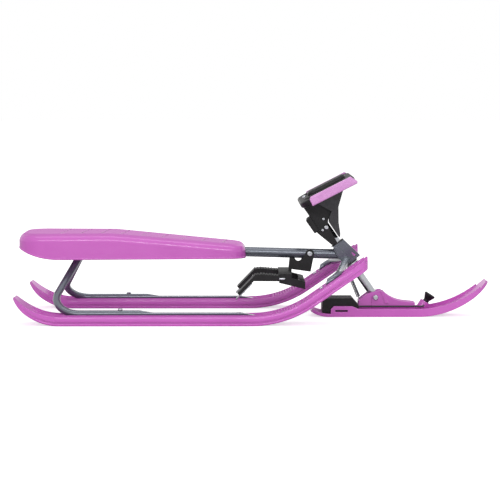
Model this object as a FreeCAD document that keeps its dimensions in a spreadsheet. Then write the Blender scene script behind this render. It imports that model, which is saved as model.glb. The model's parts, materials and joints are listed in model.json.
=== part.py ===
import FreeCAD, Part
import math
import os
import re
import Sketcher

# A steering sled: seat and frame on two fixed skis, with a steered ski in front.
# +X runs forward, +Y to the rider's left, +Z up, and all three skis stand on Z = 0.
# Lengths are in millimetres and angles in degrees.
sizes = {
    # fits shared by all pieces
    "overrun": 5,
    "seat_gap": 0.2,
    "running_fit": 0.05,
    "moving_gap": 0.4,
    "screw_slack": 0.15,
    # rear skis
    "ski_spacing": 400,
    "ski_width": 88,
    "ski_wall": 23,
    "ski_floor": 16,
    "ski_rim": 7,
    "ski_ridge": 5,
    "ski_step": 2.5,
    "ski_step_rise": 10,
    "ski_flat_rear": -470,
    "ski_flat_front": -10,
    "ski_rear_radius": 133,
    "ski_rear_turn": 59,
    "ski_front_radius": 265,
    "ski_front_turn": 34.7,
    "ski_front_end": 269,
    "ski_tip": 8,
    "ski_tip_round": 42,
    "ski_front_round": 22,
    "ski_screw_x": -326,
    "strut_screw_x": 157,
    "ski_screw_diameter": 5,
    "ski_screw_head": 11,
    "ski_screw_head_rise": 3.5,
    # runner tubes
    "runner_diameter": 18,
    "runner_wall": 1.5,
    "runner_rear_x": -505,
    "runner_rear_bend": 58,
    "runner_front_x": 200,
    "runner_front_bend": 30,
    "runner_head_x": 231,
    "runner_head_z": 141,
    "leg_top_x": -424,
    "leg_dip_x": -248,
    "leg_slope": 32,
    "leg_low": 12.5,
    "leg_end_x": 5,
    "leg_flat": 40,
    "leg_tip": 5,
    "strut_end_x": 148,
    "strut_flat_x": 166,
    "strut_press": 12,
    "strut_tip": 5,
    # main tube
    "tube_diameter": 25,
    "tube_wall": 2,
    "tube_front_x": 227,
    "tube_front_z": 153,
    "tube_slope": 1.6,
    "tube_length": 772,
    "plug_flange": 3,
    "plug_depth": 16,
    # seat shell
    "seat_rear": -583,
    "seat_front": -23,
    "seat_rear_width": 230,
    "seat_front_width": 150,
    "seat_bottom": 150,
    "seat_top": 212,
    "seat_bend_x": -350,
    "seat_front_top": 182,
    "seat_wall": 4,
    "seat_rear_round": 62,
    "seat_front_round": 42,
    "seat_edge_round": 20,
    "seat_tail_lift": 27,
    "seat_tail_length": 105,
    "seat_rib": 5,
    "seat_boss": 15,
    "seat_screw_inset": 54.7,
    "seat_screw_front_x": -130,
    "seat_screw_diameter": 6,
    "seat_screw_head": 13,
    "seat_screw_head_rise": 4,
    "seat_screw_bite": 9,
    "groove_first_x": -480,
    "groove_pitch": 49.5,
    "groove_width": 7,
    "groove_depth": 1.6,
    "groove_sweep": 14,
    "groove_margin": 27,
    # steering head, on an axis through the front ski's pivot
    "pivot_x": 301.5,
    "pivot_z": 46.5,
    "steer_lean": 35,
    "column_diameter": 20,
    "column_wall": 2,
    "column_foot": 14,
    "column_top": 243,
    "head_low": 105.5,
    "head_length": 59,
    "head_wall": 2.3,
    "bush_wall": 1.2,
    "bush_length": 16,
    "bush_flange": 2.5,
    "bush_flange_reach": 4,
    "cheek_thickness": 3,
    "cheek_front": 29,
    # below the head: washer, wire clip, spring lug
    "washer_thickness": 1.6,
    "washer_reach": 4,
    "clip_wire": 2.4,
    "clip_ring": 14,
    "clip_drop": 3,
    "lug_height": 12,
    "lug_wall": 3,
    "lug_reach": 19,
    "lug_plate": 4,
    # levelling spring
    "spring_diameter": 10.7,
    "spring_wire": 1.6,
    "spring_leg": 10,
    "spring_bend": 6,
    "spring_turns": 18,
    "anchor_x": 264,
    "anchor_z": 37,
    "anchor_bar": 8,
    # stem and wheel
    "stem_width": 36,
    "stem_foot_reach": 13.5,
    "stem_reach": 27,
    "stem_back": 19,
    "stem_foot_lip": 0.5,
    "stem_lip": 5,
    "stem_brow": 15,
    "stem_step": 215,
    "stem_brow_rise": 228,
    "stem_chin": 38,
    "stem_chin_rise": 241,
    "stem_box_width": 46,
    "stem_box_depth": 14,
    "stem_box_low": 218,
    "stem_box_length": 41,
    "shell_width": 62,
    "shell_wall": 3,
    "shell_reach": 87,
    "shell_height": 109,
    "clamp_rise": 214,
    "clamp_bolt": 6,
    "clamp_head": 11,
    "clamp_head_rise": 4,
    "stem_screw_head": 7,
    "stem_screw_head_rise": 2.4,
    "stem_screw_depth": 9,
    "wheel_x": 190,
    "wheel_z": 320,
    "wheel_rise": 27,
    "wheel_rear": 88,
    "wheel_front": 60,
    "wheel_width": 278,
    "wheel_corner": 40,
    "rim_bar": 17,
    "rim_thickness": 16,
    "rim_round": 6,
    "hub_width": 92,
    "grip_length": 124,
    "grip_thickness": 22,
    "grip_depth": 17,
    "grip_cover": 9,
    "grip_round": 4,
    "grip_slant": 10,
    "grip_bevel": 5,
    "wheel_screw": 5,
    "wheel_screw_head": 9,
    "wheel_screw_head_rise": 3,
    "wheel_screw_depth": 14,
    "wheel_screw_side": 11,
    "wheel_screw_rear": 70,
    "cap_rear": 60,
    "cap_wall": 2.5,
    "cap_length": 104,
    "cap_width": 66,
    "cap_rise": 9,
    "cap_round": 7,
    # front ski
    "front_width": 95,
    "front_floor": 8,
    "front_wall": 20,
    "front_side": 5,
    "front_flat_rear": 185,
    "front_flat_front": 405,
    "front_tail_radius": 92,
    "front_tail_turn": 29.6,
    "front_nose_radius": 232,
    "front_nose_turn": 50.5,
    "front_tip": 9,
    "front_tip_round": 44,
    "front_tail_round": 30,
    "brow_rear": 189,
    "brow_front": 242,
    "brow_slope": 16,
    "brow_rise": 7,
    "slot_rear": 200,
    "slot_length": 31,
    "slot_height": 4.5,
    "slot_rise": 13,
    # ski mount and its pivot
    "mount_rear": 259,
    "mount_length": 141,
    "mount_width": 46,
    "mount_height": 56,
    "mount_fork": 22,
    "mount_fork_front": 321,
    "mount_fork_floor": 27,
    "mount_rib": 2,
    "mount_slit": 1.4,
    "mount_crown": 13,
    "mount_sweep": 85,
    "pivot_bolt": 8,
    "pivot_head": 13,
    "pivot_head_rise": 5,
    "nut_height": 6,
    "mount_screw": 4,
    "mount_screw_head": 8.5,
    "mount_screw_head_rise": 3,
    "mount_screw_sink": 2,
    "mount_screw_depth": 10,
    # line reel
    "reel_rear": 168,
    "reel_length": 75,
    "reel_nose": 15,
    "reel_top": 46,
    "reel_nose_top": 29,
    "reel_width": 80,
    "reel_wall": 2.5,
    "reel_lift": 2.2,
    "reel_corner": 5,
    "reel_axle": 8,
    "drum_diameter": 64,
    "drum_hub": 34,
    "drum_height": 17,
    "drum_flange": 1.6,
    "line_diameter": 4,
    "line_rise": 24.5,
    "line_clear": 1,
    "line_bend": 14,
    "reel_screw": 3.5,
    "reel_screw_head": 7,
    "reel_screw_head_rise": 2.5,
    "reel_screw_bite": 12,
    "reel_boss": 8,
    "clock_spring": 28,
    "clock_spring_height": 7,
    # tow handle and socket
    "handle_x": 428.6,
    "handle_z": 34,
    "handle_lean": 33,
    "socket_diameter": 27,
    "socket_depth": 19,
    "socket_bore_depth": 16,
    "socket_foot_width": 22,
    "socket_foot_front": 424,
    "socket_foot_top": 21,
    "socket_lift": 1,
    "handle_plug": 13,
    "handle_plug_depth": 8,
    "handle_neck": 15,
    "handle_flare": 29,
    "handle_height": 22,
    "handle_crown": 3,
    "flute_diameter": 4,
    "stub_length": 6,
    # foot brake, about a bolt through the main tube
    "brake_pivot_x": 137.4,
    "brake_bolt": 8,
    "brake_bolt_head": 13,
    "brake_bolt_head_rise": 5,
    "brake_cheek": 3,
    "brake_ear": 11,
    "brake_rear": 54,
    "brake_drop": 45,
    "brake_notch": 8.5,
    "brake_web": 14,
    "brake_bar_width": 190,
    "brake_bar_depth": 24,
    "brake_bar_height": 19,
    "brake_bar_drop": 62,
    "brake_rail_width": 16,
    "brake_rail_reach": 14,
    "brake_rail_low": 81,
    "brake_rail_height": 34,
    "brake_front_bar": 14,
    "pedal_width": 52,
    "pedal_offset": 84,
    "pedal_length": 103,
    "pedal_height": 52,
    "pedal_low": 60,
    "pedal_wall": 3.5,
    "pedal_screw": 5,
    "pedal_screw_head": 9,
    "pedal_screw_head_rise": 3,
    "pedal_screw_bite": 14,
    "pedal_screw_drop": 55.5,
    "claw_slope": 45.9,
    "claw_thickness": 2.5,
    "claw_width": 44,
    "claw_length": 42,
    "claw_tooth": 14,
    "rivet_diameter": 5,
    "rivet_head": 9,
    "rivet_head_rise": 2,
    "rivet_bite": 5.5,
    "return_wire": 2,
    "return_diameter": 16,
    "return_pitch": 2.7,
    "return_turns": 4,
    "return_leg": 18,
}

# Outlines chosen by hand, as shares of the piece that they shape.
cheek_shares = [(-0.62, 0.1), (0.3, 0.02), (1, 0.05), (0.6, 1), (-0.5, 1), (-0.62, 0.62)]
cheek_inside_shares = [(-0.9, -0.2), (0.9, -0.2), (0.9, 0.05), (0.5, 1), (0.5, 1.2), (-0.9, 1.2)]
window_shares = [(0.52, 0.1), (0.74, 0.12), (0.6, 0.33), (0.51, 0.36)]
shell_front_shares = [(0.16, 0.075), (0.22, 0.133), (0.36, 0.362), (0.615, 0.664), (1, 0.916)]
shell_rear_shares = [(0.19, 0.98), (0.377, 0.668), (0.232, 0.59), (0.14, 0.46), (0.13, 0.1)]
mount_shares = [(0, 0), (0, 0.56), (0.16, 0.86), (0.35, 0.985), (0.43, 0.95, "mount_crown", "right"),
                (0.5, 0.82), (0.78, 0.51, "mount_sweep", "left"), (1, 0.45), (1, 0)]
mount_rib_shares = [(0.47, 0.42), (0.53, 0.42), (0.455, 0.93), (0.39, 0.97)]
mount_slit_shares = [(0.212, 0.22), (0.236, 0.72)]
stem_screw_shares = [(-0.6, 0), (0.3, 0.1)]
mount_screw_shares = [0.56, 0.86]
pedal_top_shares = [(1, 0.68), (1, 0.93), (0.58, 1), (0.42, 0.965), (0, 0.106), (0.056, 0)]
pedal_hollow_shares = [(0.46, 0.875), (0.46, 0.6)]
claw_run_share = 0.335
brake_cheek_shares = [(-1, -1.05), (-0.84, -1.05), (-0.84, -0.855), (0.04, -1)]
brake_notch_shares = [(-0.37, -0.31), (-0.67, -0.31, "brake_notch", "right")]
brake_web_shares = [-0.69, -0.93]
rail_shares = [(0, 0.45), (1, 0), (1, 0.53), (0, 1)]
claw_rivet_shares = [0.3, 0.72]
pedal_screw_shares = [-0.27, 0.27]

# Counts of what repeats.
groove_count = 9
claw_tooth_count = 4
flute_count = 14

doc = FreeCAD.newDocument("steering_sled")
sheet = doc.addObject("Spreadsheet::Sheet", "Sizes")
for row, (alias, number) in enumerate(sizes.items(), start=1):
    sheet.set(f"A{row}", alias)
    sheet.set(f"B{row}", str(number))
    sheet.setAlias(f"B{row}", alias)
doc.recompute()

nodes = []


def formula(text):
    return re.sub(r"[a-z]\w*", lambda word: ("Sizes." if word[0] in sizes else "") + word[0], text)


def worth(text):
    return float(sheet.evalExpression(formula(text)))


def bind(item, setting, text):
    item.setExpression(setting, formula(text))


def place(item, x="0", y="0", z="0", turn="0", axis=(0, 1, 0)):
    item.Placement = FreeCAD.Placement(FreeCAD.Vector(), FreeCAD.Rotation(FreeCAD.Vector(*axis), worth(turn)))
    for letter, text in zip("xyz", (x, y, z)):
        bind(item, f"Placement.Base.{letter}", text)
    if turn != "0":
        bind(item, "Placement.Rotation.Angle", turn)
    return item


def keep(item, label):
    item.Label = label
    nodes.append(item)
    return item


def new_body(name):
    return doc.addObject("PartDesign::Body", name)


def draw_loop(sketch, corners):
    spots = [FreeCAD.Vector(worth(corner[0]), worth(corner[1]), 0) for corner in corners]
    first = sketch.GeometryCount
    edges, starts, bends = [], [], []
    for index, start in enumerate(spots):
        following = (index + 1) % len(spots)
        end = spots[following]
        if len(corners[following]) == 2:
            edges.append(Part.LineSegment(start, end))
            starts.append(1)
            continue
        bend, side = corners[following][2:]
        radius = worth(bend)
        chord = end - start
        across = FreeCAD.Vector(-chord.y, chord.x, 0).normalize()
        rise = math.sqrt(max(radius ** 2 - (chord.Length / 2) ** 2, 0))
        centre = (start + end) / 2 + across * (rise if side == "left" else -rise)
        angles = [math.atan2(spot.y - centre.y, spot.x - centre.x) for spot in (start, end)]
        if side == "right":
            angles.reverse()
        circle = Part.Circle(centre, FreeCAD.Vector(0, 0, 1), radius)
        edges.append(Part.ArcOfCircle(circle, *angles))
        starts.append(1 if side == "left" else 2)
        bends.append((index, bend, radius))
    sketch.addGeometry(edges)
    rules, texts = [], []
    for index, spot in enumerate(spots):
        following = (index + 1) % len(spots)
        place_here = (first + index, starts[index])
        rules.append(Sketcher.Constraint("Coincident", first + index, 3 - starts[index],
                                         first + following, starts[following]))
        texts.append(None)
        for kind, number, text in (("DistanceX", spot.x, corners[index][0]),
                                   ("DistanceY", spot.y, corners[index][1])):
            rules.append(Sketcher.Constraint(kind, -1, 1, *place_here, number))
            texts.append(text)
    for index, bend, radius in bends:
        rules.append(Sketcher.Constraint("Radius", first + index, radius))
        texts.append(bend)
    offset = sketch.ConstraintCount
    sketch.addConstraint(rules)
    for index, text in enumerate(texts):
        if text is not None:
            bind(sketch, f"Constraints[{offset + index}]", text)


def draw_circle(sketch, x, y, radius):
    first = sketch.GeometryCount
    centre = FreeCAD.Vector(worth(x), worth(y), 0)
    sketch.addGeometry(Part.Circle(centre, FreeCAD.Vector(0, 0, 1), worth(radius)))
    offset = sketch.ConstraintCount
    sketch.addConstraint([Sketcher.Constraint("DistanceX", -1, 1, first, 3, centre.x),
                          Sketcher.Constraint("DistanceY", -1, 1, first, 3, centre.y),
                          Sketcher.Constraint("Radius", first, worth(radius))])
    for index, text in enumerate((x, y, radius)):
        bind(sketch, f"Constraints[{offset + index}]", text)


def outline(body, role, loops, lift="0"):
    sketch = body.newObject("Sketcher::SketchObject", body.Name + "_outline")
    plane = next(item for item in body.Origin.OriginFeatures if item.Role == role)
    sketch.AttachmentSupport = (plane, "")
    sketch.MapMode = "FlatFace"
    bind(sketch, "AttachmentOffset.Base.z", lift)
    for corners in loops:
        if isinstance(corners[0], str):
            draw_circle(sketch, *corners)
        else:
            draw_loop(sketch, corners)
    return sketch


def sweep_flat(kind, body, sketch, length, sides="Symmetric", back=False):
    feature = body.newObject("PartDesign::" + kind, body.Name + "_" + kind.lower())
    feature.Profile = sketch
    bind(feature, "Length", length)
    feature.SideType = sides
    feature.Reversed = back
    return feature


def pad(body, sketch, length, sides="Symmetric", back=False):
    return sweep_flat("Pad", body, sketch, length, sides, back)


def pocket(body, sketch, length, sides="Symmetric", back=False):
    doc.recompute()
    before = body.Shape.Volume
    feature = sweep_flat("Pocket", body, sketch, length, sides, back)
    doc.recompute()
    if body.Shape.Volume >= before:
        raise RuntimeError(body.Name + " has a cut that removes nothing")
    return feature


def turned(name, corners):
    body = new_body(name)
    sketch = outline(body, "XZ_Plane", [corners])
    feature = body.newObject("PartDesign::Revolution", name + "_turn")
    feature.Profile = sketch
    feature.ReferenceAxis = (sketch, ["V_Axis"])
    return body


def round_edges(body, radius, wanted):
    doc.recompute()
    base = body.Tip
    names = [f"Edge{number}" for number, edge in enumerate(base.Shape.Edges, 1) if wanted(edge)]
    feature = body.newObject("PartDesign::Fillet", body.Name + "_rounding")
    feature.Base = (base, names)
    bind(feature, "Radius", radius)
    return feature


def rod(name, diameter, height):
    item = doc.addObject("Part::Cylinder", name)
    bind(item, "Radius", f"({diameter}) / 2")
    bind(item, "Height", height)
    return item


def block(name, length, width, height):
    item = doc.addObject("Part::Box", name)
    for setting, text in (("Length", length), ("Width", width), ("Height", height)):
        bind(item, setting, text)
    return item


def combine(kind, name, items):
    result = doc.addObject("Part::Multi" + kind, name)
    result.Shapes = items
    return result


def cut(name, base, tools):
    result = doc.addObject("Part::Cut", name)
    result.Base = base
    result.Tool = tools[0] if len(tools) == 1 else combine("Fuse", name + "_cuts", tools)
    return result


def drawn_to(shares, x, length, z, height):
    return [(f"{x} + {across} * ({length})", f"{z} + {up} * ({height})", *bend) for across, up,
            *bend in shares]


def rectangle(left, right, low, high):
    return [(left, low), (right, low), (right, high), (left, high)]


def along_tube(item, distance):
    return place(item, f"tube_front_x - ({distance}) * cos(tube_slope)", "0",
                 f"tube_front_z + ({distance}) * sin(tube_slope)", "tube_slope - 90")


def tube_z(x):
    return f"(tube_front_z + (tube_front_x - ({x})) * tan(tube_slope))"


def on_column(item, rise="0", side="0"):
    return place(item, f"pivot_x - ({rise}) * sin(steer_lean)", side,
                 f"pivot_z + ({rise}) * cos(steer_lean)", "-steer_lean")


def across_at(item, x, y, z):
    return place(item, x, y, z, "90", (1, 0, 0))


def bent_wire(points, radii):
    edges = []
    start = points[0]
    for before, corner, after, radius in zip(points, points[1:], points[2:], radii):
        back = (before - corner).normalize()
        ahead = (after - corner).normalize()
        half_turn = (math.pi - back.getAngle(ahead)) / 2
        reach = radius * math.tan(half_turn)
        middle = corner + (back + ahead).normalize() * (radius / math.cos(half_turn) - radius)
        edges.append(Part.LineSegment(start, corner + back * reach).toShape())
        edges.append(Part.Arc(corner + back * reach, middle, corner + ahead * reach).toShape())
        start = corner + ahead * reach
    edges.append(Part.LineSegment(start, points[-1]).toShape())
    return Part.Wire(edges)


def round_bar(wire, diameter):
    first = wire.OrderedEdges[0]
    begin = first.valueAt(first.FirstParameter)
    heading = first.tangentAt(first.FirstParameter)
    pipe = Part.BRepOffsetAPI.MakePipeShell(wire)
    pipe.add(Part.Wire(Part.makeCircle(diameter / 2, begin, heading)))
    pipe.build()
    pipe.makeSolid()
    return pipe.shape()


def fixed(label, shape):
    item = doc.addObject("Part::Feature", label)
    item.Shape = shape
    item.Placement = FreeCAD.Placement()
    return item


def shaped(label, shape):
    return keep(fixed(label, shape), label)


# A ski's side view between two heights above its sole: tail curve, flat, nose curve and any ramp.
def ski_loop(low, high, rear, front, tail, nose, ramp=None):
    tail_radius, tail_turn = tail
    nose_radius, nose_turn = nose

    def tail_end(height):
        reach = f"({tail_radius} - ({height}))"
        return (f"{rear} - {reach} * sin({tail_turn})", f"{tail_radius} - {reach} * cos({tail_turn})")

    def nose_end(height, further):
        reach = f"({nose_radius} - ({height}))"
        return (f"{front} + {reach} * sin({nose_turn}) + ({further}) * cos({nose_turn})",
                f"{nose_radius} - {reach} * cos({nose_turn}) + ({further}) * sin({nose_turn})")

    loop = [tail_end(low), (rear, low, f"{tail_radius} - ({low})", "left"), (front, low),
            (*nose_end(low, "0"), f"{nose_radius} - ({low})", "left")]
    if ramp:
        loop += [nose_end(low, ramp), nose_end(high, ramp)]
    loop += [nose_end(high, "0"), (front, high, f"{nose_radius} - ({high})", "right"), (rear, high),
             (*tail_end(high), f"{tail_radius} - ({high})", "right")]
    return loop


def rounded_plan(rear, front, low, high, rear_round, front_round):
    return [(f"{rear} + {rear_round}", low, rear_round, "left"),
            (f"{front} - {front_round}", low),
            (front, f"{low} + {front_round}", front_round, "left"),
            (front, f"{high} - {front_round}"),
            (f"{front} - {front_round}", high, front_round, "left"),
            (f"{rear} + {rear_round}", high),
            (rear, f"{high} - {rear_round}", rear_round, "left"),
            (rear, f"{low} + {rear_round}")]


ski_nose_x = "(ski_flat_front + ski_front_radius * sin(ski_front_turn))"
ski_ramp = f"((ski_front_end + ski_wall - {ski_nose_x}) / cos(ski_front_turn))"
ski_tail_x = "(ski_flat_rear - ski_rear_radius * sin(ski_rear_turn))"
ski_channel = "(runner_diameter + 2 * seat_gap)"
runner_rise = "(ski_floor + seat_gap + runner_diameter / 2)"
ramp_corner = f"(ski_flat_front + (ski_front_radius - {runner_rise}) * tan(ski_front_turn / 2))"
leg_screw_lift = "(runner_diameter / 2 + seat_gap)"
strut_screw_lift = "(strut_tip - runner_diameter / 2 + seat_gap)"
sides = {"right": -1, "left": 1}


def ramp_z(x):
    return f"({runner_rise} + ({x} - {ramp_corner}) * tan(ski_front_turn))"


def rear_band(low, high):
    return ski_loop(low, high, "ski_flat_rear", "ski_flat_front", ("ski_rear_radius", "ski_rear_turn"),
                    ("ski_front_radius", "ski_front_turn"), ski_ramp)


# Thins a ski's end from the height of its wall to that of its tip, above an arc that starts level.
def thin_end(body, flat, bow, tip, way):
    start, wall, width = flat
    radius, turn = bow
    run = f"(({radius} - {tip}) * sin({turn}))"
    rise = f"({radius} - ({radius} - {tip}) * cos({turn}) - {wall})"
    end, top, roof = f"{start} + {way} * {run}", f"{wall} + {rise}", f"{wall} + {radius}"
    bend = f"({run}^2 + {rise}^2) / (2 * {rise})"
    past = f"{end} + {way} * {wall}"
    loop = [(start, wall), (end, top, bend, "left" if way > 0 else "right"), (past, top), (past, roof),
            (start, roof)]
    pocket(body, outline(body, "XZ_Plane", [loop]), f"2 * {width}")


# Rear skis: a flanged side wall, a rim, a thin tail, and two ridges that hold the runner tube in a channel.
def make_rear_ski(name, side):
    body = new_body(name)
    pad(body, outline(body, "XZ_Plane", [rear_band("0", "ski_step_rise")]), "ski_width - 2 * ski_step")
    pad(body, outline(body, "XZ_Plane", [rear_band("ski_step_rise", "ski_wall")]), "ski_width")
    hollow = [rear_band("ski_floor", "ski_wall + overrun")]
    pocket(body, outline(body, "XZ_Plane", hollow), "ski_width - 2 * ski_rim")
    ridges = outline(body, "XZ_Plane", [rear_band("ski_floor", "ski_wall")])
    pad(body, ridges, f"{ski_channel} + 2 * ski_ridge")
    pocket(body, outline(body, "XZ_Plane", hollow), ski_channel)
    thin_end(body, ("ski_flat_rear", "ski_wall", "ski_width"), ("ski_rear_radius", "ski_rear_turn"),
             "ski_tip", -1)
    around = rectangle(f"{ski_tail_x} - overrun", "ski_front_end + ski_wall + overrun",
                       "-ski_width", "ski_width")
    inside = rounded_plan(ski_tail_x, "ski_front_end", "-ski_width / 2", "ski_width / 2",
                          "ski_tip_round", "ski_front_round")
    pocket(body, outline(body, "XY_Plane", [around, inside]), "4 * ski_front_radius")
    hole = ("ski_screw_x", "0", "ski_screw_diameter / 2 + screw_slack")
    pocket(body, outline(body, "XY_Plane", [hole]), "4 * ski_wall")
    return place(body, y=f"{side} * ski_spacing / 2")


def make_ski_screw(name, side, grip, x, z, lean="0"):
    foot = f"-({grip} + ski_floor / 2)"
    rise = "ski_screw_head_rise"
    screw = turned(name, [("0", foot), ("ski_screw_diameter / 2", foot), ("ski_screw_diameter / 2", "0"),
                          ("ski_screw_head / 2", "0"), ("ski_screw_head / 4", rise), ("0", rise)])
    return place(screw, x, f"{side} * ski_spacing / 2", z, lean)


rear_skis = {name: make_rear_ski(f"{name}_ski_solid", side) for name, side in sides.items()}
ski_screws = [make_ski_screw(f"leg_screw_{name}", side, "runner_diameter", "ski_screw_x",
                             f"{runner_rise} + {leg_screw_lift}") for name, side in sides.items()]
ski_screws += [make_ski_screw(f"strut_screw_{name}", side, "strut_tip",
                              f"strut_screw_x - {strut_screw_lift} * sin(ski_front_turn)",
                              f"{ramp_z('strut_screw_x')} + {strut_screw_lift} * cos(ski_front_turn)",
                              "-ski_front_turn") for name, side in sides.items()]
keep(doc.addObject("Part::Compound", "ski_screw_group"), "ski_screws").Links = ski_screws

# Main tube: one straight tube from inside the seat down to the steering head.
bush_bore = "(column_diameter + 2 * running_fit)"
bush_outside = f"({bush_bore} + 2 * bush_wall)"
head_bore = f"({bush_outside} + 2 * running_fit)"
head_outside = f"({head_bore} + 2 * head_wall)"
cheek_inside = f"({head_outside} / 2 + seat_gap)"
cheek_outside = f"({cheek_inside} + cheek_thickness)"
rear_screw_x = "(tube_front_x - (tube_length - seat_screw_inset) * cos(tube_slope))"
seat_screw_places = (rear_screw_x, "seat_screw_front_x")

head_clearance = on_column(rod("head_clearance", f"{head_outside} + 2 * seat_gap", "3 * head_length"),
                           "head_low - head_length")
tube_cuts = [along_tube(rod("tube_bore", "tube_diameter - 2 * tube_wall", "tube_length + overrun"), "0"),
             head_clearance,
             across_at(rod("tube_bolt_hole", "brake_bolt + 2 * screw_slack", "2 * tube_diameter"),
                       "brake_pivot_x", "tube_diameter", tube_z("brake_pivot_x"))]
for number, x in enumerate(seat_screw_places):
    hole = rod(f"tube_screw_hole_{number}", "seat_screw_diameter + 2 * screw_slack", "2 * tube_diameter")
    tube_cuts.append(place(hole, x, "0", f"{tube_z(x)} - tube_diameter"))
tube_outside = along_tube(rod("tube_outside", "tube_diameter", "tube_length"), "0")
keep(cut("main_tube_cut", tube_outside, tube_cuts), "main_tube")

plug_stem = "tube_diameter / 2 - tube_wall - running_fit"
plug = turned("main_tube_plug", [("0", "-plug_depth"), (plug_stem, "-plug_depth"), (plug_stem, "0"),
                                 ("tube_diameter / 2", "0"), ("tube_diameter / 2", "plug_flange"),
                                 ("0", "plug_flange")])
keep(along_tube(plug, "tube_length"), "main_tube_plug")


# Runner tubes: a leg from the main tube down to each ski, pressed low along it, and a strut from the head,
# both with a flat end.
def make_runner(name, side):
    track, rise = side * worth("ski_spacing / 2"), worth(runner_rise)
    size, bore = worth("runner_diameter"), worth("runner_diameter - 2 * runner_wall")
    turn = math.radians(worth("ski_front_turn"))

    def on_flat(x):
        return FreeCAD.Vector(worth(x), track, rise)

    def on_ramp(x):
        return FreeCAD.Vector(worth(x), track, worth(ramp_z(x)))

    def screw_way(middle, heading):
        return Part.makeCylinder(worth("ski_screw_diameter / 2 + screw_slack"), 4 * size,
                                 middle - heading * 2 * size, heading)

    leg_top = FreeCAD.Vector(worth("leg_top_x"), 0, worth(tube_z("leg_top_x")))
    head = FreeCAD.Vector(worth("runner_head_x"), 0, worth("runner_head_z"))
    heel, knee = on_flat("runner_rear_x"), on_ramp("runner_front_x")
    leg_bend, strut_bend = [worth("runner_rear_bend")], [worth("runner_front_bend")]
    leg_wire = bent_wire([leg_top, heel, on_flat("leg_end_x")], leg_bend)
    leg_room = bent_wire([leg_top, heel, on_flat("leg_end_x - leg_flat")], leg_bend)
    strut_wire = bent_wire([on_ramp("strut_end_x"), knee, head], strut_bend)
    strut_room = bent_wire([on_ramp("strut_flat_x + strut_press"), knee, head], strut_bend)
    up, ramp_up = FreeCAD.Vector(0, 0, 1), FreeCAD.Vector(-math.sin(turn), 0, math.cos(turn))
    strut_screw_way = screw_way(on_ramp("strut_screw_x"), ramp_up)
    ways = [fixed(f"{name}_{piece}_way", round_bar(wire, worth(ski_channel)))
            for piece, wire in (("leg", leg_wire), ("strut", strut_wire))]
    ways.append(fixed(f"{name}_strut_screw_way", strut_screw_way))
    keep(cut(f"{name}_ski_cut", rear_skis[name], ways), f"{name}_ski")

    def pressed(top, flats, tip, rise):
        edge = [top + rise * size / 2] + [flat + rise * (tip - size / 2) for flat in flats]
        edge += [flats[-1] + rise * size, top + rise * size]
        edge = [corner - FreeCAD.Vector(0, size, 0) for corner in edge]
        return Part.Face(Part.makePolygon(edge + edge[:1])).extrude(FreeCAD.Vector(0, 2 * size, 0))

    low, leg_end = worth("leg_low"), on_flat("leg_end_x")
    leg_dip = pressed(on_flat("leg_dip_x - leg_slope"), [on_flat("leg_dip_x"), leg_end], low, up)
    leg_press = pressed(on_flat("leg_end_x - leg_flat") - up * (size - low), [leg_end], worth("leg_tip"), up)
    leg_bore = round_bar(leg_room, bore).cut(leg_dip.translated(up * -worth("runner_wall")))
    strut_flats = [on_ramp("strut_flat_x"), on_ramp("strut_end_x - runner_wall")]
    strut_press = pressed(on_ramp("strut_flat_x + strut_press"), strut_flats, worth("strut_tip"), ramp_up)
    leg_screw_way = screw_way(on_flat("ski_screw_x"), up)
    leg_cuts = [leg_bore, tube_keepout.Shape, leg_dip, leg_press, leg_screw_way]
    strut_cuts = [round_bar(strut_room, bore), head_keepout.Shape, strut_press, strut_screw_way]
    leg, strut = round_bar(leg_wire, size).cut(leg_cuts), round_bar(strut_wire, size).cut(strut_cuts)
    for piece, solid in (("runner_tube", leg), ("front_strut", strut)):
        shaped(f"{name}_{piece}", max(solid.Solids, key=lambda part: part.Volume))


tube_keepout = along_tube(rod("tube_keepout", "tube_diameter + 2 * seat_gap", "tube_length"), "0")
head_keepout = place(block("head_keepout", "6 * cheek_front", f"2 * ({cheek_outside} + seat_gap)",
                           "4 * head_length"),
                     "runner_head_x - 3 * cheek_front", f"-({cheek_outside} + seat_gap)",
                     "runner_head_z - 2 * head_length")
doc.recompute()
for side_name, side in sides.items():
    make_runner(side_name, side)


# Seat: a moulded shell, open underneath, that sits over the main tube on two ribs with screw bosses.
seat_slope = "((seat_top - seat_front_top) / (seat_front - seat_bend_x))"


def seat_form(name, inset, foot):
    body = new_body(name)
    rear, front = f"seat_rear + {inset}", f"seat_front - {inset}"
    rear_half, front_half = f"(seat_rear_width / 2 - {inset})", f"(seat_front_width / 2 - {inset})"
    plan = [(rear, f"-{rear_half}"), (front, f"-{front_half}"), (front, front_half), (rear, rear_half)]
    pad(body, outline(body, "XY_Plane", [plan], foot), f"seat_top - {inset} - ({foot})", "One side")
    middle = worth("(seat_rear + seat_front) / 2")

    def upright(edge):
        return edge.BoundBox.XLength + edge.BoundBox.YLength < worth("seat_gap")

    round_edges(body, f"seat_rear_round - {inset}",
                lambda edge: upright(edge) and edge.BoundBox.XMin < middle)
    round_edges(body, f"seat_front_round - {inset}",
                lambda edge: upright(edge) and edge.BoundBox.XMin > middle
                and edge.Curve.TypeId == "Part::GeomLine"
                and edge.BoundBox.XMax > worth(front) - worth("seat_gap"))
    wedge = [("seat_bend_x", f"seat_top - {inset}"),
             ("seat_front + overrun", f"seat_front_top - {inset} - overrun * {seat_slope}"),
             ("seat_front + overrun", "seat_top + overrun"), ("seat_bend_x", "seat_top + overrun")]
    pocket(body, outline(body, "XZ_Plane", [wedge]), "2 * seat_rear_width")
    shoulder = worth("(seat_bottom + seat_front_top) / 2")
    bend = worth("seat_bend_x")
    round_edges(body, f"seat_edge_round - {inset}", lambda edge: edge.BoundBox.ZMin > shoulder
                and abs(edge.BoundBox.XMin - bend) + edge.BoundBox.XLength > worth("seat_gap"))
    return body


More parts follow.
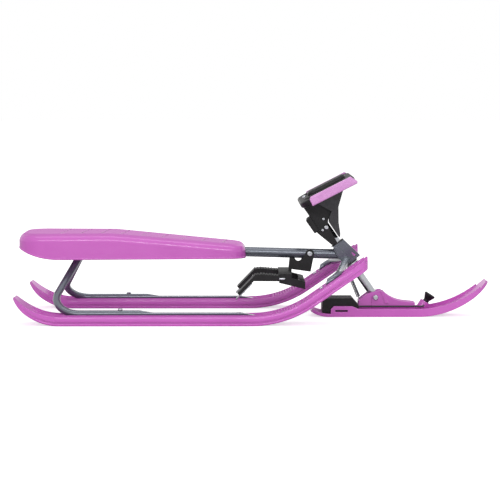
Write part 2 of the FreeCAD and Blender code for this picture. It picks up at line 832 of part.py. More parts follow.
def groove_loop(number):
    rear = f"(groove_first_x + {number} * groove_pitch)"
    reach = (f"(seat_rear_width / 2 - groove_margin - ({rear} - seat_rear) / (seat_front - seat_rear)"
             " * (seat_rear_width - seat_front_width) / 2)")
    return [(rear, f"-{reach}"), (f"{rear} + groove_width", f"-{reach}"),
            (f"{rear} + groove_width + groove_sweep", reach), (f"{rear} + groove_sweep", reach)]


seat_outside = seat_form("seat_outside", "0", "seat_bottom")
seat_inside = seat_form("seat_inside", "seat_wall", "seat_bottom - overrun")
tail_bend = "((seat_tail_length^2 + seat_tail_lift^2) / (2 * seat_tail_lift))"
tail = outline(seat_outside, "XZ_Plane", [[
    ("seat_rear - overrun", "seat_bottom - overrun"),
    ("seat_rear + seat_tail_length", "seat_bottom - overrun"),
    ("seat_rear + seat_tail_length", "seat_bottom"),
    ("seat_rear", "seat_bottom + seat_tail_lift", tail_bend, "right"),
    ("seat_rear - overrun", "seat_bottom + seat_tail_lift")]])
pocket(seat_outside, tail, "2 * seat_rear_width")
seat_walls = cut("seat_walls", seat_outside, [seat_inside])

seat_supports, seat_cuts = [], []
for number, x in enumerate(seat_screw_places):
    rib = block(f"seat_rib_{number}", "seat_rib", "2 * seat_rear_width", f"seat_top - {tube_z(x)}")
    seat_supports.append(place(rib, f"{x} - seat_rib / 2", "-seat_rear_width", tube_z(x)))
    boss = rod(f"seat_boss_{number}", "seat_boss", f"seat_top - {tube_z(x)}")
    seat_supports.append(place(boss, x, "0", tube_z(x)))
    hole = rod(f"seat_screw_hole_{number}", "seat_screw_diameter + 2 * screw_slack",
               "tube_diameter + seat_screw_bite + 2 * screw_slack")
    seat_cuts.append(place(hole, x, "0", f"{tube_z(x)} - tube_diameter / 2"))
supports = combine("Common", "seat_supports", [combine("Fuse", "seat_support_blocks", seat_supports),
                                               seat_outside])
seat_cuts.append(along_tube(rod("seat_tube_way", "tube_diameter + 2 * seat_gap", "tube_length + overrun"),
                            "0"))

grooves = new_body("seat_groove_ways")
pad(grooves, outline(grooves, "XY_Plane", [groove_loop(number) for number in range(groove_count)]),
    "4 * seat_top")
groove_band = new_body("seat_groove_band")
pad(groove_band, outline(groove_band, "XZ_Plane", [[
    ("seat_rear", "seat_top - groove_depth"), ("seat_bend_x", "seat_top - groove_depth"),
    ("seat_front", "seat_front_top - groove_depth"), ("seat_front", "seat_top + overrun"),
    ("seat_rear", "seat_top + overrun")]]), "seat_rear_width")
seat_cuts.append(combine("Common", "seat_grooves", [grooves, groove_band]))
seat_solid = combine("Fuse", "seat_solid", [seat_walls, supports])
keep(cut("seat_shell_cut", seat_solid, seat_cuts), "seat_shell")


def make_seat_screw(name, x):
    top = "tube_diameter + seat_screw_bite"
    screw = turned(name, [("0", "-seat_screw_head_rise"), ("seat_screw_head / 3", "-seat_screw_head_rise"),
                          ("seat_screw_head / 2", "0"), ("seat_screw_diameter / 2", "0"),
                          ("seat_screw_diameter / 2", top), ("0", top)])
    return place(screw, x, "0", f"{tube_z(x)} - tube_diameter / 2 - seat_gap")


seat_screws = [make_seat_screw(f"seat_screw_{number}", x) for number, x in enumerate(seat_screw_places)]
keep(doc.addObject("Part::Compound", "seat_screw_group"), "seat_screws").Links = seat_screws

# Steering head: a tube with a flanged bush in each end, between two cheeks folded from one plate.
head_body = rod("head_outside", head_outside, "head_length")
head_hole = rod("head_bore", head_bore, "head_length + 2 * overrun")
keep(cut("head_tube_cut", on_column(head_body, "head_low"), [on_column(head_hole, "head_low - overrun")]),
     "head_tube")

bracket = new_body("head_bracket")
pad(bracket, outline(bracket, "XZ_Plane", [drawn_to(cheek_shares, "0", "cheek_front", "head_low",
                                                    "head_length")]),
    f"2 * {cheek_outside}")
pocket(bracket, outline(bracket, "XZ_Plane", [
    drawn_to(cheek_inside_shares, "0", "cheek_front", "head_low", "head_length")]), f"2 * {cheek_inside}")
pocket(bracket, outline(bracket, "XZ_Plane", [
    drawn_to(window_shares, "0", "cheek_front", "head_low", "head_length")]), f"4 * {cheek_outside}")
keep(on_column(bracket), "head_bracket")


def make_bush(name, rise, up):
    inside, outside = f"{bush_bore} / 2", f"{bush_outside} / 2"
    flange = f"{head_outside} / 2 + bush_flange_reach"
    foot, top = f"{-up} * bush_length", f"{up} * bush_flange"
    bush = turned(name, [(inside, foot), (outside, foot), (outside, "0"), (flange, "0"), (flange, top),
                         (inside, top)])
    keep(on_column(bush, rise), name)


make_bush("upper_head_bush", "head_low + head_length", 1)
make_bush("lower_head_bush", "head_low", -1)

# Steering column, and what hangs on it below the head.
clip_rise = "(head_low - bush_flange - moving_gap - washer_thickness - seat_gap - clip_wire / 2)"
column_holes = [on_column(rod("column_bore", "column_diameter - 2 * column_wall",
                              "column_foot + column_top + 2 * overrun"), "-column_foot - overrun"),
                across_at(rod("column_pivot_hole", "pivot_bolt + 2 * running_fit", "2 * column_diameter"),
                          "pivot_x", "column_diameter", "pivot_z"),
                across_at(rod("column_clamp_hole", "clamp_bolt + 2 * screw_slack", "2 * column_diameter"),
                          "pivot_x - clamp_rise * sin(steer_lean)", "column_diameter",
                          "pivot_z + clamp_rise * cos(steer_lean)")]
clip_hole = rod("column_clip_hole", "clip_wire + 2 * screw_slack", "2 * column_diameter")
column_holes.append(place(clip_hole,
                          f"pivot_x - {clip_rise} * sin(steer_lean) - column_diameter * cos(steer_lean)",
                          "0",
                          f"pivot_z + {clip_rise} * cos(steer_lean) - column_diameter * sin(steer_lean)",
                          "90 - steer_lean"))
column = on_column(rod("column_outside", "column_diameter", "column_foot + column_top"), "-column_foot")
keep(cut("steering_column_cut", column, column_holes), "steering_column")

washer_in, washer_out = f"{bush_bore} / 2", f"{bush_bore} / 2 + washer_reach"
washer = turned("column_washer", [(washer_in, "0"), (washer_out, "0"), (washer_out, "washer_thickness"),
                                  (washer_in, "washer_thickness")])
keep(on_column(washer, "head_low - bush_flange - moving_gap - washer_thickness"), "column_washer")


def column_spot(ahead, rise, side=0):
    lean = math.radians(worth("steer_lean"))
    return FreeCAD.Vector(worth("pivot_x") - rise * math.sin(lean) + ahead * math.cos(lean), side,
                          worth("pivot_z") + rise * math.cos(lean) + ahead * math.sin(lean))


def make_clip():
    rise, radius, ring = worth(clip_rise), worth("column_diameter / 2"), worth("clip_ring")
    out = radius + worth("clip_wire") + worth("clip_drop")
    low = rise - worth("clip_drop")
    points = [column_spot(-out, rise), column_spot(out, rise), column_spot(out + ring / 2, low - ring / 2),
              column_spot(out, low - ring)]
    wire = bent_wire(points, [worth("clip_drop"), ring / 2])
    shaped("retaining_clip", round_bar(wire, worth("clip_wire")))


make_clip()

# Spring lug: a collar under the clip with an ear behind the column, drilled for the spring's end.
lug_rise = f"({clip_rise} - clip_wire / 2 - seat_gap - lug_height)"


def spring_line():
    top = column_spot(-worth("lug_reach"), worth(f"{lug_rise} + lug_height / 2"))
    return top, FreeCAD.Vector(worth("anchor_x"), 0, worth("anchor_z"))


def spring_hole(name):
    top, foot = spring_line()
    hole = rod(name, "spring_wire + 4 * screw_slack", "6 * lug_reach")
    way = top - foot
    turn = FreeCAD.Rotation(FreeCAD.Vector(0, 0, 1), way)
    hole.Placement = FreeCAD.Placement(foot - way / 4, turn)
    return hole


collar_in, collar_out = f"{bush_bore} / 2", f"{bush_bore} / 2 + lug_wall"
lug_collar = on_column(turned("lug_collar", [(collar_in, "0"), (collar_out, "0"),
                                             (collar_out, "lug_height"),
                                             (collar_in, "lug_height")]), lug_rise)
lug_ear = new_body("lug_ear")
pad(lug_ear, outline(lug_ear, "XZ_Plane", [rectangle("-lug_reach - lug_plate",
                                                     "-column_diameter / 2 - running_fit",
                                                     "0", "lug_height")]), "lug_plate")
lug_solid = combine("Fuse", "lug_solid", [lug_collar, on_column(lug_ear, lug_rise)])
keep(cut("spring_lug_cut", lug_solid, [spring_hole("lug_spring_hole")]), "spring_lug")


# A wire's way between two points with given headings, as two arcs that meet smoothly.
def biarc(begin, heading, end, final):
    way = end - begin
    both = heading + final
    spread = 2 * (1 - heading.dot(final))
    reach = (math.sqrt(way.dot(both) ** 2 + spread * way.dot(way)) - way.dot(both)) / spread
    middle = (begin + end + (heading - final) * reach) / 2
    return [bowed(begin, middle, heading), bowed(middle, end, final * -1)]


def bowed(begin, end, lean):
    chord = end - begin
    along = FreeCAD.Vector(chord).normalize()
    sideways = lean - along * lean.dot(along)
    angle = lean.getAngle(along)
    angle = min(angle, math.pi - angle)
    sagitta = chord.Length / 2 * math.tan(angle / 2)
    return Part.Arc(begin, (begin + end) / 2 + sideways.normalize() * sagitta, end).toShape()


def coil_stations(foot, axis, out, radius, pitch, turns):
    across = axis.cross(out)
    stations = []
    for step in range(2 * turns + 1):
        angle = step * math.pi
        spoke = out * math.cos(angle) + across * math.sin(angle)
        drift = across * math.cos(angle) - out * math.sin(angle)
        heading = (drift * (2 * math.pi * radius) + axis * pitch).normalize()
        stations.append((foot + spoke * radius + axis * (pitch * step / 2), heading))
    return stations


def coil_edges(stations):
    return [edge for (begin, heading), (end, final) in zip(stations, stations[1:])
            for edge in biarc(begin, heading, end, final)]


def report_least_gap(name, wire, diameter, loop_length):
    count = int(wire.Length / (diameter / 2))
    spots = wire.discretize(Number=count)
    skip = int(loop_length / 2 / wire.Length * count)
    least = min(first.distanceToPoint(other) for index, first in enumerate(spots)
                for other in spots[index + skip:])
    print(f"{name}: least gap between turns {least - diameter:.2f} mm")


def make_levelling_spring():
    top, foot = spring_line()
    axis = (top - foot).normalize()
    out = FreeCAD.Vector(0, 1, 0)
    wire_size, turns = worth("spring_wire"), int(worth("spring_turns"))
    radius = (worth("spring_diameter") - wire_size) / 2
    leg, bend = worth("spring_leg"), worth("spring_bend")
    length = top.distanceToPoint(foot) - 2 * (leg + bend)
    stations = coil_stations(foot + axis * (leg + bend), axis, out, radius, length / turns, turns)
    low, high = foot + axis * leg, top - axis * leg
    edges = [Part.LineSegment(foot, low).toShape()]
    edges += biarc(low, axis, *stations[0])
    edges += coil_edges(stations)
    edges += biarc(*stations[-1], high, axis)
    edges.append(Part.LineSegment(high, top).toShape())
    wire = Part.Wire(edges)
    report_least_gap("levelling spring", wire, wire_size, 2 * math.pi * radius)
    shaped("levelling_spring", round_bar(wire, wire_size))


make_levelling_spring()

# Stem: a core clamped round the column, a box behind it and a curved shell in front, under the wheel.
stem_foot = "(head_low + head_length + bush_flange + moving_gap)"
stem_tilt = "(steer_lean - wheel_rise)"
wheel_ahead = "((wheel_x - pivot_x) * cos(steer_lean) + (wheel_z - pivot_z) * sin(steer_lean))"
wheel_above = "((wheel_z - pivot_z) * cos(steer_lean) - (wheel_x - pivot_x) * sin(steer_lean))"


def under_wheel(ahead):
    return (f"{wheel_above} - (rim_thickness / 2 + seat_gap) / cos{stem_tilt}"
            f" - (({ahead}) - {wheel_ahead}) * tan{stem_tilt}")


def on_wheel(item, ahead="0", side="0", up="0"):
    return place(item, f"wheel_x + ({ahead}) * cos(wheel_rise) - ({up}) * sin(wheel_rise)", side,
                 f"wheel_z + ({ahead}) * sin(wheel_rise) + ({up}) * cos(wheel_rise)", "-wheel_rise")


def wheel_screw_holes(name):
    return [on_wheel(rod(f"{name}_{number}", "wheel_screw + 2 * screw_slack",
                         "rim_thickness + wheel_screw_depth + 2 * screw_slack"),
                     "-wheel_screw_rear", f"{side} * wheel_screw_side",
                     "-rim_thickness / 2 - wheel_screw_depth - screw_slack")
            for number, side in enumerate(sides.values())]


def stem_cross_hole(name, diameter, ahead, rise, length):
    return across_at(rod(name, diameter, length),
                     f"pivot_x - ({rise}) * sin(steer_lean) + ({ahead}) * cos(steer_lean)",
                     f"({length}) / 2",
                     f"pivot_z + ({rise}) * cos(steer_lean) + ({ahead}) * sin(steer_lean)")


stem_screw_spots = [(f"{ahead} * column_diameter", f"clamp_rise + {up} * clamp_rise") for ahead,
                    up in stem_screw_shares]
core = new_body("stem_core_block")
pad(core, outline(core, "XZ_Plane", [[
    ("-stem_foot_reach", stem_foot), ("stem_foot_lip", stem_foot), ("stem_lip", "stem_step"),
    ("stem_brow", "stem_brow_rise"), ("stem_chin", "stem_chin_rise"),
    ("stem_chin", under_wheel("stem_chin")),
    ("-stem_back", under_wheel("-stem_back")),
    ("-stem_back", "stem_step"), ("-stem_reach", "stem_step")]]), "stem_width")
column_way = on_column(rod("stem_column_way", "column_diameter + 2 * running_fit",
                           "column_top + running_fit"))
core_cuts = [column_way, stem_cross_hole("stem_clamp_way", "clamp_bolt + 2 * screw_slack", "0",
                                         "clamp_rise",
                                         "2 * stem_width")]
for number, (ahead, rise) in enumerate(stem_screw_spots):
    core_cuts.append(stem_cross_hole(f"stem_screw_way_{number}", "stem_screw_head / 2 + 2 * screw_slack",
                                     ahead, rise,
                                     "2 * stem_width"))
keep(cut("stem_core_cut", on_column(core), core_cuts + wheel_screw_holes("stem_wheel_screw_way")),
     "stem_core")

box_rear, box_front = "-(stem_back + stem_box_depth)", "-(stem_back + seat_gap)"
box_top = "(stem_box_low + stem_box_length)"
box = new_body("stem_box")
pad(box, outline(box, "XZ_Plane", [[
    (box_rear, "stem_box_low"), (box_front, "stem_box_low"), (box_front, box_top),
    (f"{box_rear} + stem_box_depth / 3", box_top), (box_rear, f"{box_top} - stem_box_depth / 3")]]),
    "stem_box_width")
round_edges(box, "stem_box_depth / 6", lambda edge: edge.BoundBox.YLength < worth("seat_gap")
            and edge.BoundBox.XMin < worth(box_front) - worth("seat_gap"))
keep(on_column(box), "stem_box")

shell = new_body("stem_shell")
shell_front = drawn_to(shell_front_shares, "0", "shell_reach", stem_foot, "shell_height")
shell_rear = drawn_to(shell_rear_shares, "0", "shell_reach", stem_foot, "shell_height")
rear_top = shell_rear[0][0]
pad(shell, outline(shell, "XZ_Plane", [shell_front + [("shell_reach", under_wheel("shell_reach")),
                                                      (rear_top, under_wheel(rear_top))] + shell_rear]),
    "shell_width")
shell_hollow = [(f"{ahead} - shell_wall", rise) for ahead, rise in shell_front]
shell_hollow = [(shell_hollow[0][0], f"{stem_foot} - overrun")] + shell_hollow[1:]
shell_hollow += [("shell_reach - shell_wall", "shell_height + " + stem_foot + " + shell_reach"),
                 ("-shell_reach", "shell_height + " + stem_foot + " + shell_reach"),
                 ("-shell_reach", f"{stem_foot} - overrun")]
pocket(shell, outline(shell, "XZ_Plane", [shell_hollow]), "shell_width - 2 * shell_wall")
keep(on_column(shell), "stem_shell")

# Fasteners of the stem.
clamp_half = "(stem_width / 2 + seat_gap)"
bolt = turned("clamp_bolt", [("0", f"-{clamp_half}"), ("clamp_bolt / 2", f"-{clamp_half}"),
                             ("clamp_bolt / 2", clamp_half), ("clamp_head / 2", clamp_half),
                             ("clamp_head / 3", f"{clamp_half} + clamp_head_rise"),
                             ("0", f"{clamp_half} + clamp_head_rise")])
keep(across_at(bolt, "pivot_x - clamp_rise * sin(steer_lean)", "0",
               "pivot_z + clamp_rise * cos(steer_lean)"),
     "clamp_bolt")


def make_stem_screw(name, ahead, rise):
    flank, shank = clamp_half, "stem_screw_head / 4"
    tip = f"{flank} - stem_screw_depth"
    screw = turned(name, [("0", tip), (shank, tip), (shank, flank), ("stem_screw_head / 2", flank),
                          ("stem_screw_head / 3", f"{flank} + stem_screw_head_rise"),
                          ("0", f"{flank} + stem_screw_head_rise")])
    return across_at(screw, f"pivot_x - ({rise}) * sin(steer_lean) + ({ahead}) * cos(steer_lean)", "0",
                     f"pivot_z + ({rise}) * cos(steer_lean) + ({ahead}) * sin(steer_lean)")


stem_screws = [make_stem_screw(f"stem_screw_{number}", *spot) for number,
               spot in enumerate(stem_screw_spots)]
keep(doc.addObject("Part::Compound", "stem_screw_group"), "stem_screws").Links = stem_screws

# Wheel: a flat closed rim with a hub plate and a hand gap each side, side grips and a cover on the hub.
rim = new_body("wheel_rim_block")
pad(rim, outline(rim, "XY_Plane", [rounded_plan("-wheel_rear", "wheel_front", "-wheel_width / 2",
                                                "wheel_width / 2",
                                                "wheel_corner", "wheel_corner")]), "rim_thickness")
gap_ends = ("-wheel_rear + rim_bar", "wheel_front - rim_bar")
gap_rounds = ("(wheel_corner - rim_bar)", "(wheel_corner - rim_bar)")
hand_gaps = [rounded_plan(*gap_ends, "hub_width / 2", "(wheel_width / 2 - rim_bar)", *gap_rounds),
             rounded_plan(*gap_ends, "(rim_bar - wheel_width / 2)", "(-hub_width / 2)", *gap_rounds)]
pocket(rim, outline(rim, "XY_Plane", hand_gaps), "2 * rim_thickness")
round_edges(rim, "rim_round", lambda edge: edge.BoundBox.ZLength < worth("seat_gap"))
keep(cut("wheel_rim_cut", on_wheel(rim), wheel_screw_holes("rim_screw_way")), "wheel_rim")

for side_name, side in sides.items():
    grip = new_body(side_name + "_grip")
    tall, long_half = "grip_thickness / 2", "grip_length / 2"
    middle = f"{-side} * (wheel_width / 2 - grip_cover + grip_depth / 2)"
    pad(grip, outline(grip, "XZ_Plane", [[
        (f"-{long_half}", f"-{tall}"), (f"{long_half} - grip_bevel / 2", f"-{tall}"),
        (long_half, f"grip_bevel - {tall}"), (f"{long_half} - grip_slant", tall),
        (f"grip_bevel - {long_half}", tall), (f"-{long_half}", f"{tall} - grip_bevel")]], middle),
        "grip_depth")
    face = worth("wheel_width / 2 - grip_cover + grip_depth") - worth("seat_gap")
    round_edges(grip, "grip_round",
                lambda edge: abs(edge.BoundBox.YMin) > face and abs(edge.BoundBox.YMax) > face)
    channel = outline(grip, "XZ_Plane", [rectangle("-grip_length", "grip_length",
                                                   "-rim_thickness / 2 - seat_gap",
                                                   "rim_thickness / 2 + seat_gap")],
                      f"{-side} * (wheel_width / 2 + seat_gap)")
    pocket(grip, channel, "2 * grip_cover", "One side", back=side > 0)
    keep(on_wheel(grip), side_name + "_grip")

cover = new_body("wheel_cover")
cover_ends = ("-cap_rear", "cap_length - cap_rear")
pad(cover, outline(cover, "XY_Plane", [rounded_plan(*cover_ends, "-cap_width / 2", "cap_width / 2",
                                                    "cap_round * 2",
                                                    "cap_round * 2")]), "cap_rise", "One side")
round_edges(cover, "cap_round", lambda edge: edge.BoundBox.ZMin > worth("cap_rise / 2"))
inner_ends = ("(cap_wall - cap_rear)", "(cap_length - cap_rear - cap_wall)")
pocket(cover, outline(cover, "XY_Plane", [rounded_plan(
    *inner_ends, "(cap_wall - cap_width / 2)", "(cap_width / 2 - cap_wall)", "cap_round", "cap_round")]),
    "2 * (cap_rise - cap_round)")
keep(on_wheel(cover, up="rim_thickness / 2 + seat_gap"), "wheel_cover")

wheel_screws = []
for number, side in enumerate(sides.values()):
    tip = "-rim_thickness - wheel_screw_depth"
    screw = turned(f"wheel_screw_{number}", [("0", tip), ("wheel_screw / 2", tip), ("wheel_screw / 2", "0"),
                                             ("wheel_screw_head / 2", "0"),
                                             ("wheel_screw_head / 3", "wheel_screw_head_rise"),
                                             ("0", "wheel_screw_head_rise")])
    wheel_screws.append(on_wheel(screw, "-wheel_screw_rear", f"{side} * wheel_screw_side",
                                 "rim_thickness / 2 + seat_gap"))
keep(doc.addObject("Part::Compound", "wheel_screw_group"), "wheel_screws").Links = wheel_screws

# Front ski: a trough whose walls start behind the mount, with a raised brow and a slot beside the reel.
front_tail_x = "(front_flat_rear - front_tail_radius * sin(front_tail_turn))"
front_nose_x = "(front_flat_front + front_nose_radius * sin(front_nose_turn))"
reel_front = "(reel_rear + reel_length)"
reel_screw_x = f"({reel_front} - reel_wall - reel_boss)"
reel_screw_y = "(reel_width / 2 - reel_wall - reel_boss / 3)"
mount_screw_places = [f"mount_rear + {share} * mount_length" for share in mount_screw_shares]


def front_wall_loop(rear, low, high):
    low_reach, high_reach = f"(front_nose_radius - ({low}))", f"(front_nose_radius - ({high}))"

    def nose(reach):
        return (f"front_flat_front + {reach} * sin(front_nose_turn)",
                f"front_nose_radius - {reach} * cos(front_nose_turn)")

    return [(rear, low), ("front_flat_front", low), (*nose(low_reach), low_reach, "left"), nose(high_reach),
            ("front_flat_front", high, high_reach, "right"), (rear, high)]


front_ski = new_body("front_ski")
pad(front_ski, outline(front_ski, "XZ_Plane", [ski_loop(
    "0", "front_floor", "front_flat_rear", "front_flat_front", ("front_tail_radius", "front_tail_turn"),
    ("front_nose_radius", "front_nose_turn"))]), "front_width")
pad(front_ski, outline(front_ski, "XZ_Plane", [front_wall_loop("brow_rear", "front_floor", "front_wall")]),
    "front_width")
pad(front_ski, outline(front_ski, "XZ_Plane", [[
    ("brow_rear", "front_floor"), ("brow_front + brow_slope", "front_floor"),
    ("brow_front + brow_slope", "front_wall"), ("brow_front", "front_wall + brow_rise"),
    ("brow_rear + brow_slope / 2", "front_wall + brow_rise"), ("brow_rear", "front_wall")]]), "front_width")
pocket(front_ski, outline(front_ski, "XZ_Plane", [front_wall_loop(
    "brow_rear - overrun", "front_floor", "front_wall + brow_rise + overrun")]),
       "front_width - 2 * front_side")
thin_end(front_ski, ("front_flat_front", "front_wall", "front_width"),
         ("front_nose_radius", "front_nose_turn"), "front_tip", 1)
pocket(front_ski, outline(front_ski, "XZ_Plane", [rectangle(
    "slot_rear", "slot_rear + slot_length", "slot_rise", "slot_rise + slot_height")]), "2 * front_width")
around = rectangle(f"{front_tail_x} - overrun", f"{front_nose_x} + overrun", "-front_width", "front_width")
inside = rounded_plan(front_tail_x, front_nose_x, "-front_width / 2", "front_width / 2",
                      "front_tail_round", "front_tip_round")
pocket(front_ski, outline(front_ski, "XY_Plane", [around, inside]), "2 * front_nose_radius")
screw_ways = [(x, "0", "mount_screw / 2 + screw_slack") for x in mount_screw_places]
reel_ways = [(reel_screw_x, f"{side} * {reel_screw_y}",
              "reel_screw / 2 + screw_slack") for side in sides.values()]
pocket(front_ski, outline(front_ski, "XY_Plane", screw_ways + reel_ways), "4 * front_floor")
head_ways = [(x, "0", "mount_screw_head / 2 + screw_slack") for x in mount_screw_places]
pocket(front_ski, outline(front_ski, "XY_Plane", head_ways),
       "2 * (mount_screw_sink + mount_screw_head_rise)")
reel_head_ways = [(reel_screw_x, f"{side} * {reel_screw_y}", "reel_screw_head / 2 + screw_slack")
                  for side in sides.values()]
pocket(front_ski, outline(front_ski, "XY_Plane", reel_head_ways),
       "2 * (mount_screw_sink + reel_screw_head_rise)")
keep(front_ski, "front_ski")

# Ski mount: a fork that takes the foot of the column on the pivot bolt.
mount_foot = "(front_floor + seat_gap)"
mount = new_body("ski_mount")
pad(mount, outline(mount, "XZ_Plane", [drawn_to(mount_shares, "mount_rear", "mount_length", mount_foot,
                                                "mount_height")]),
    "mount_width")
pad(mount, outline(mount, "XZ_Plane", [drawn_to(mount_rib_shares, "mount_rear", "mount_length", mount_foot,
                                                "mount_height")]), "mount_width + 2 * mount_rib")
pocket(mount, outline(mount, "XZ_Plane", [rectangle("mount_rear - overrun", "mount_fork_front",
                                                    "mount_fork_floor",
                                                    "2 * mount_height")]), "mount_fork")
pocket(mount, outline(mount, "XZ_Plane", [("pivot_x", "pivot_z", "pivot_bolt / 2 + running_fit")]),
       "2 * mount_width")
pocket(mount, outline(mount, "XY_Plane", screw_ways),
       f"2 * ({mount_foot} + mount_screw_depth + screw_slack)")
slit_low, slit_high = drawn_to(mount_slit_shares, "mount_rear", "mount_length", mount_foot, "mount_height")
slit = [slit_low, (f"{slit_low[0]} + mount_slit", slit_low[1]),
        (f"{slit_high[0]} + mount_slit", slit_high[1]), slit_high]
for side in sides.values():
    flank = outline(mount, "XZ_Plane", [slit], f"{-side} * mount_width / 2")
    pocket(mount, flank, "mount_slit", "One side", back=side > 0)
keep(mount, "ski_mount")

mount_screws = []
for number, x in enumerate(mount_screw_places):
    shank, tip = "mount_screw / 2", "front_floor + mount_screw_depth"
    rim_z = "mount_screw_sink + mount_screw_head_rise - screw_slack"
    screw = turned(f"mount_screw_{number}", [("0", "mount_screw_sink"),
                                             ("mount_screw_head / 2", "mount_screw_sink"),
                                             ("mount_screw_head / 2", rim_z), (shank, rim_z),
                                             (shank, tip), ("0", tip)])
    mount_screws.append(place(screw, x))
keep(doc.addObject("Part::Compound", "mount_screw_group"), "mount_screws").Links = mount_screws


def make_cross_bolt(name, diameter, head, head_rise, near, far, x, z):
    bolt = turned(name, [("0", f"-({far})"), (f"{diameter} / 2", f"-({far})"), (f"{diameter} / 2", near),
                         (f"{head} / 2", near), (f"{head} / 2", f"{near} + {head_rise} / 2"),
                         (f"{head} / 3", f"{near} + {head_rise}"), ("0", f"{near} + {head_rise}")])
    keep(across_at(bolt, x, "0", z), name)


def make_hex_nut(name, bore, flats, y, x, z):
    nut = new_body(name)
    corner = f"({flats} / 2 / cos(30))"
    ring = [(f"{corner} * cos({60 * step})", f"{corner} * sin({60 * step})") for step in range(6)]
    pad(nut, outline(nut, "XZ_Plane", [ring, ("0", "0", f"{bore} / 2 + screw_slack")]), "nut_height",
        "One side", True)
    keep(place(nut, x, y, z), name)


pivot_near = "(mount_width / 2 + seat_gap)"
make_cross_bolt("pivot_bolt", "pivot_bolt", "pivot_head", "pivot_head_rise", pivot_near,
                f"{pivot_near} + nut_height + seat_gap", "pivot_x", "pivot_z")
make_hex_nut("pivot_nut", "pivot_bolt", "pivot_head", pivot_near, "pivot_x", "pivot_z")
anchor_half = "(mount_fork / 2 - seat_gap)"
anchor = place(block("anchor_block", "anchor_bar", f"2 * {anchor_half}", "anchor_bar"),
               "anchor_x - anchor_bar / 2",
               f"-{anchor_half}", "anchor_z - anchor_bar / 2")
keep(cut("spring_anchor_cut", anchor, [spring_hole("anchor_spring_hole")]), "spring_anchor")

# Line reel: a housing on a base plate, a drum on a fixed axle, a clock spring and the wound line.
reel_foot = "(front_floor + reel_lift)"
reel_centre = "(reel_rear + reel_length / 2)"
line_side = "(mount_width / 2 + line_diameter / 2 + line_clear)"
drum_low = "(line_rise - drum_height / 2)"
drum_high = "(line_rise + drum_height / 2)"
housing = new_body("reel_housing")
pad(housing, outline(housing, "XZ_Plane", [[
    ("reel_rear", reel_foot), (f"{reel_front} + reel_nose", reel_foot),
    (f"{reel_front} + reel_nose", "reel_nose_top"),
    (reel_front, "reel_top"), ("reel_rear + reel_corner", "reel_top"),
    ("reel_rear", "reel_top - reel_corner")]]),
    "reel_width")
pocket(housing, outline(housing, "XZ_Plane", [[
    ("reel_rear + reel_wall", f"{reel_foot} - overrun"),
    (f"{reel_front} + reel_nose - reel_wall", f"{reel_foot} - overrun"),
    (f"{reel_front} + reel_nose - reel_wall", "reel_nose_top - reel_wall"),
    (f"{reel_front} - reel_wall / 2", "reel_top - reel_wall"),
    ("reel_rear + reel_corner", "reel_top - reel_wall"),
    ("reel_rear + reel_wall", "reel_top - reel_corner")]]), "reel_width - 2 * reel_wall")
bosses = [(reel_screw_x, f"{side} * {reel_screw_y}", "reel_boss / 2") for side in sides.values()]
pad(housing, outline(housing, "XY_Plane", bosses, reel_foot), f"reel_top - reel_wall / 2 - {reel_foot}",
    "One side")
reel_pilots = outline(housing, "XY_Plane", reel_ways, reel_foot)
pocket(housing, reel_pilots, "reel_screw_bite + screw_slack", "One side", True)
line_way = outline(housing, "YZ_Plane", [(f"-{line_side}", "line_rise",
                                          "line_diameter / 2 + line_clear / 2")],
                   f"{reel_front} + reel_nose")
pocket(housing, line_way, "2 * reel_wall")
keep(housing, "reel_housing")

base = new_body("reel_base")
base_plan = rectangle("front_flat_rear", f"{reel_front} + reel_nose", "-reel_width / 2", "reel_width / 2")
pad(base, outline(base, "XY_Plane", [base_plan] + reel_ways, "front_floor + seat_gap"),
    "reel_lift - 2 * seat_gap",
    "One side")
keep(base, "reel_base")
reel_screws = []
for name, side in sides.items():
    shank, tip = "reel_screw / 2", f"{reel_foot} + reel_screw_bite"
    rim_z = "mount_screw_sink + reel_screw_head_rise - screw_slack"
    screw = turned(f"reel_screw_{name}", [("0", "mount_screw_sink"),
                                          ("reel_screw_head / 2", "mount_screw_sink"),
                                          ("reel_screw_head / 2", rim_z), (shank, rim_z), (shank, tip),
                                          ("0", tip)])
    reel_screws.append(place(screw, reel_screw_x, f"{side} * {reel_screw_y}"))
keep(doc.addObject("Part::Compound", "reel_screw_group"), "reel_screws").Links = reel_screws
axle = rod("reel_axle", "reel_axle", f"reel_top - reel_wall - {reel_foot} - seat_gap")
keep(place(axle, reel_centre, "0", reel_foot), "reel_axle")

bore, edge_radius, hub_radius = "reel_axle / 2 + running_fit", "drum_diameter / 2", "drum_hub / 2"
drum = turned("reel_drum", [
    (bore, drum_low), (edge_radius, drum_low), (edge_radius, f"{drum_low} + drum_flange"),
    (hub_radius, f"{drum_low} + drum_flange"), (hub_radius, f"{drum_high} - drum_flange"),
    (edge_radius, f"{drum_high} - drum_flange"), (edge_radius, drum_high), (bore, drum_high)])
keep(place(drum, reel_centre), "reel_drum")
wound_in, wound_out = f"{hub_radius} + seat_gap", f"{line_side} + line_diameter / 2"
wound_low, wound_high = f"{drum_low} + drum_flange + seat_gap", f"{drum_high} - drum_flange - seat_gap"
wound = turned("wound_line", [(wound_in, wound_low), (wound_out, wound_low), (wound_out, wound_high),
                              (wound_in, wound_high)])
keep(place(wound, reel_centre), "wound_line")
coil_low = f"{drum_high} + moving_gap"
clock = turned("reel_spring", [
    ("reel_axle / 2 + seat_gap", coil_low), ("clock_spring / 2", coil_low),
    ("clock_spring / 2", f"{coil_low} + clock_spring_height"),
    ("reel_axle / 2 + seat_gap", f"{coil_low} + clock_spring_height")])
keep(place(clock, reel_centre), "reel_spring")


# Tow handle: a fluted knob in a leaning socket, on the line that runs beside the mount from the reel.
def on_handle(item, up="0"):
    return place(item, f"handle_x + ({up}) * sin(handle_lean)", "0",
                 f"handle_z + ({up}) * cos(handle_lean)", "handle_lean")


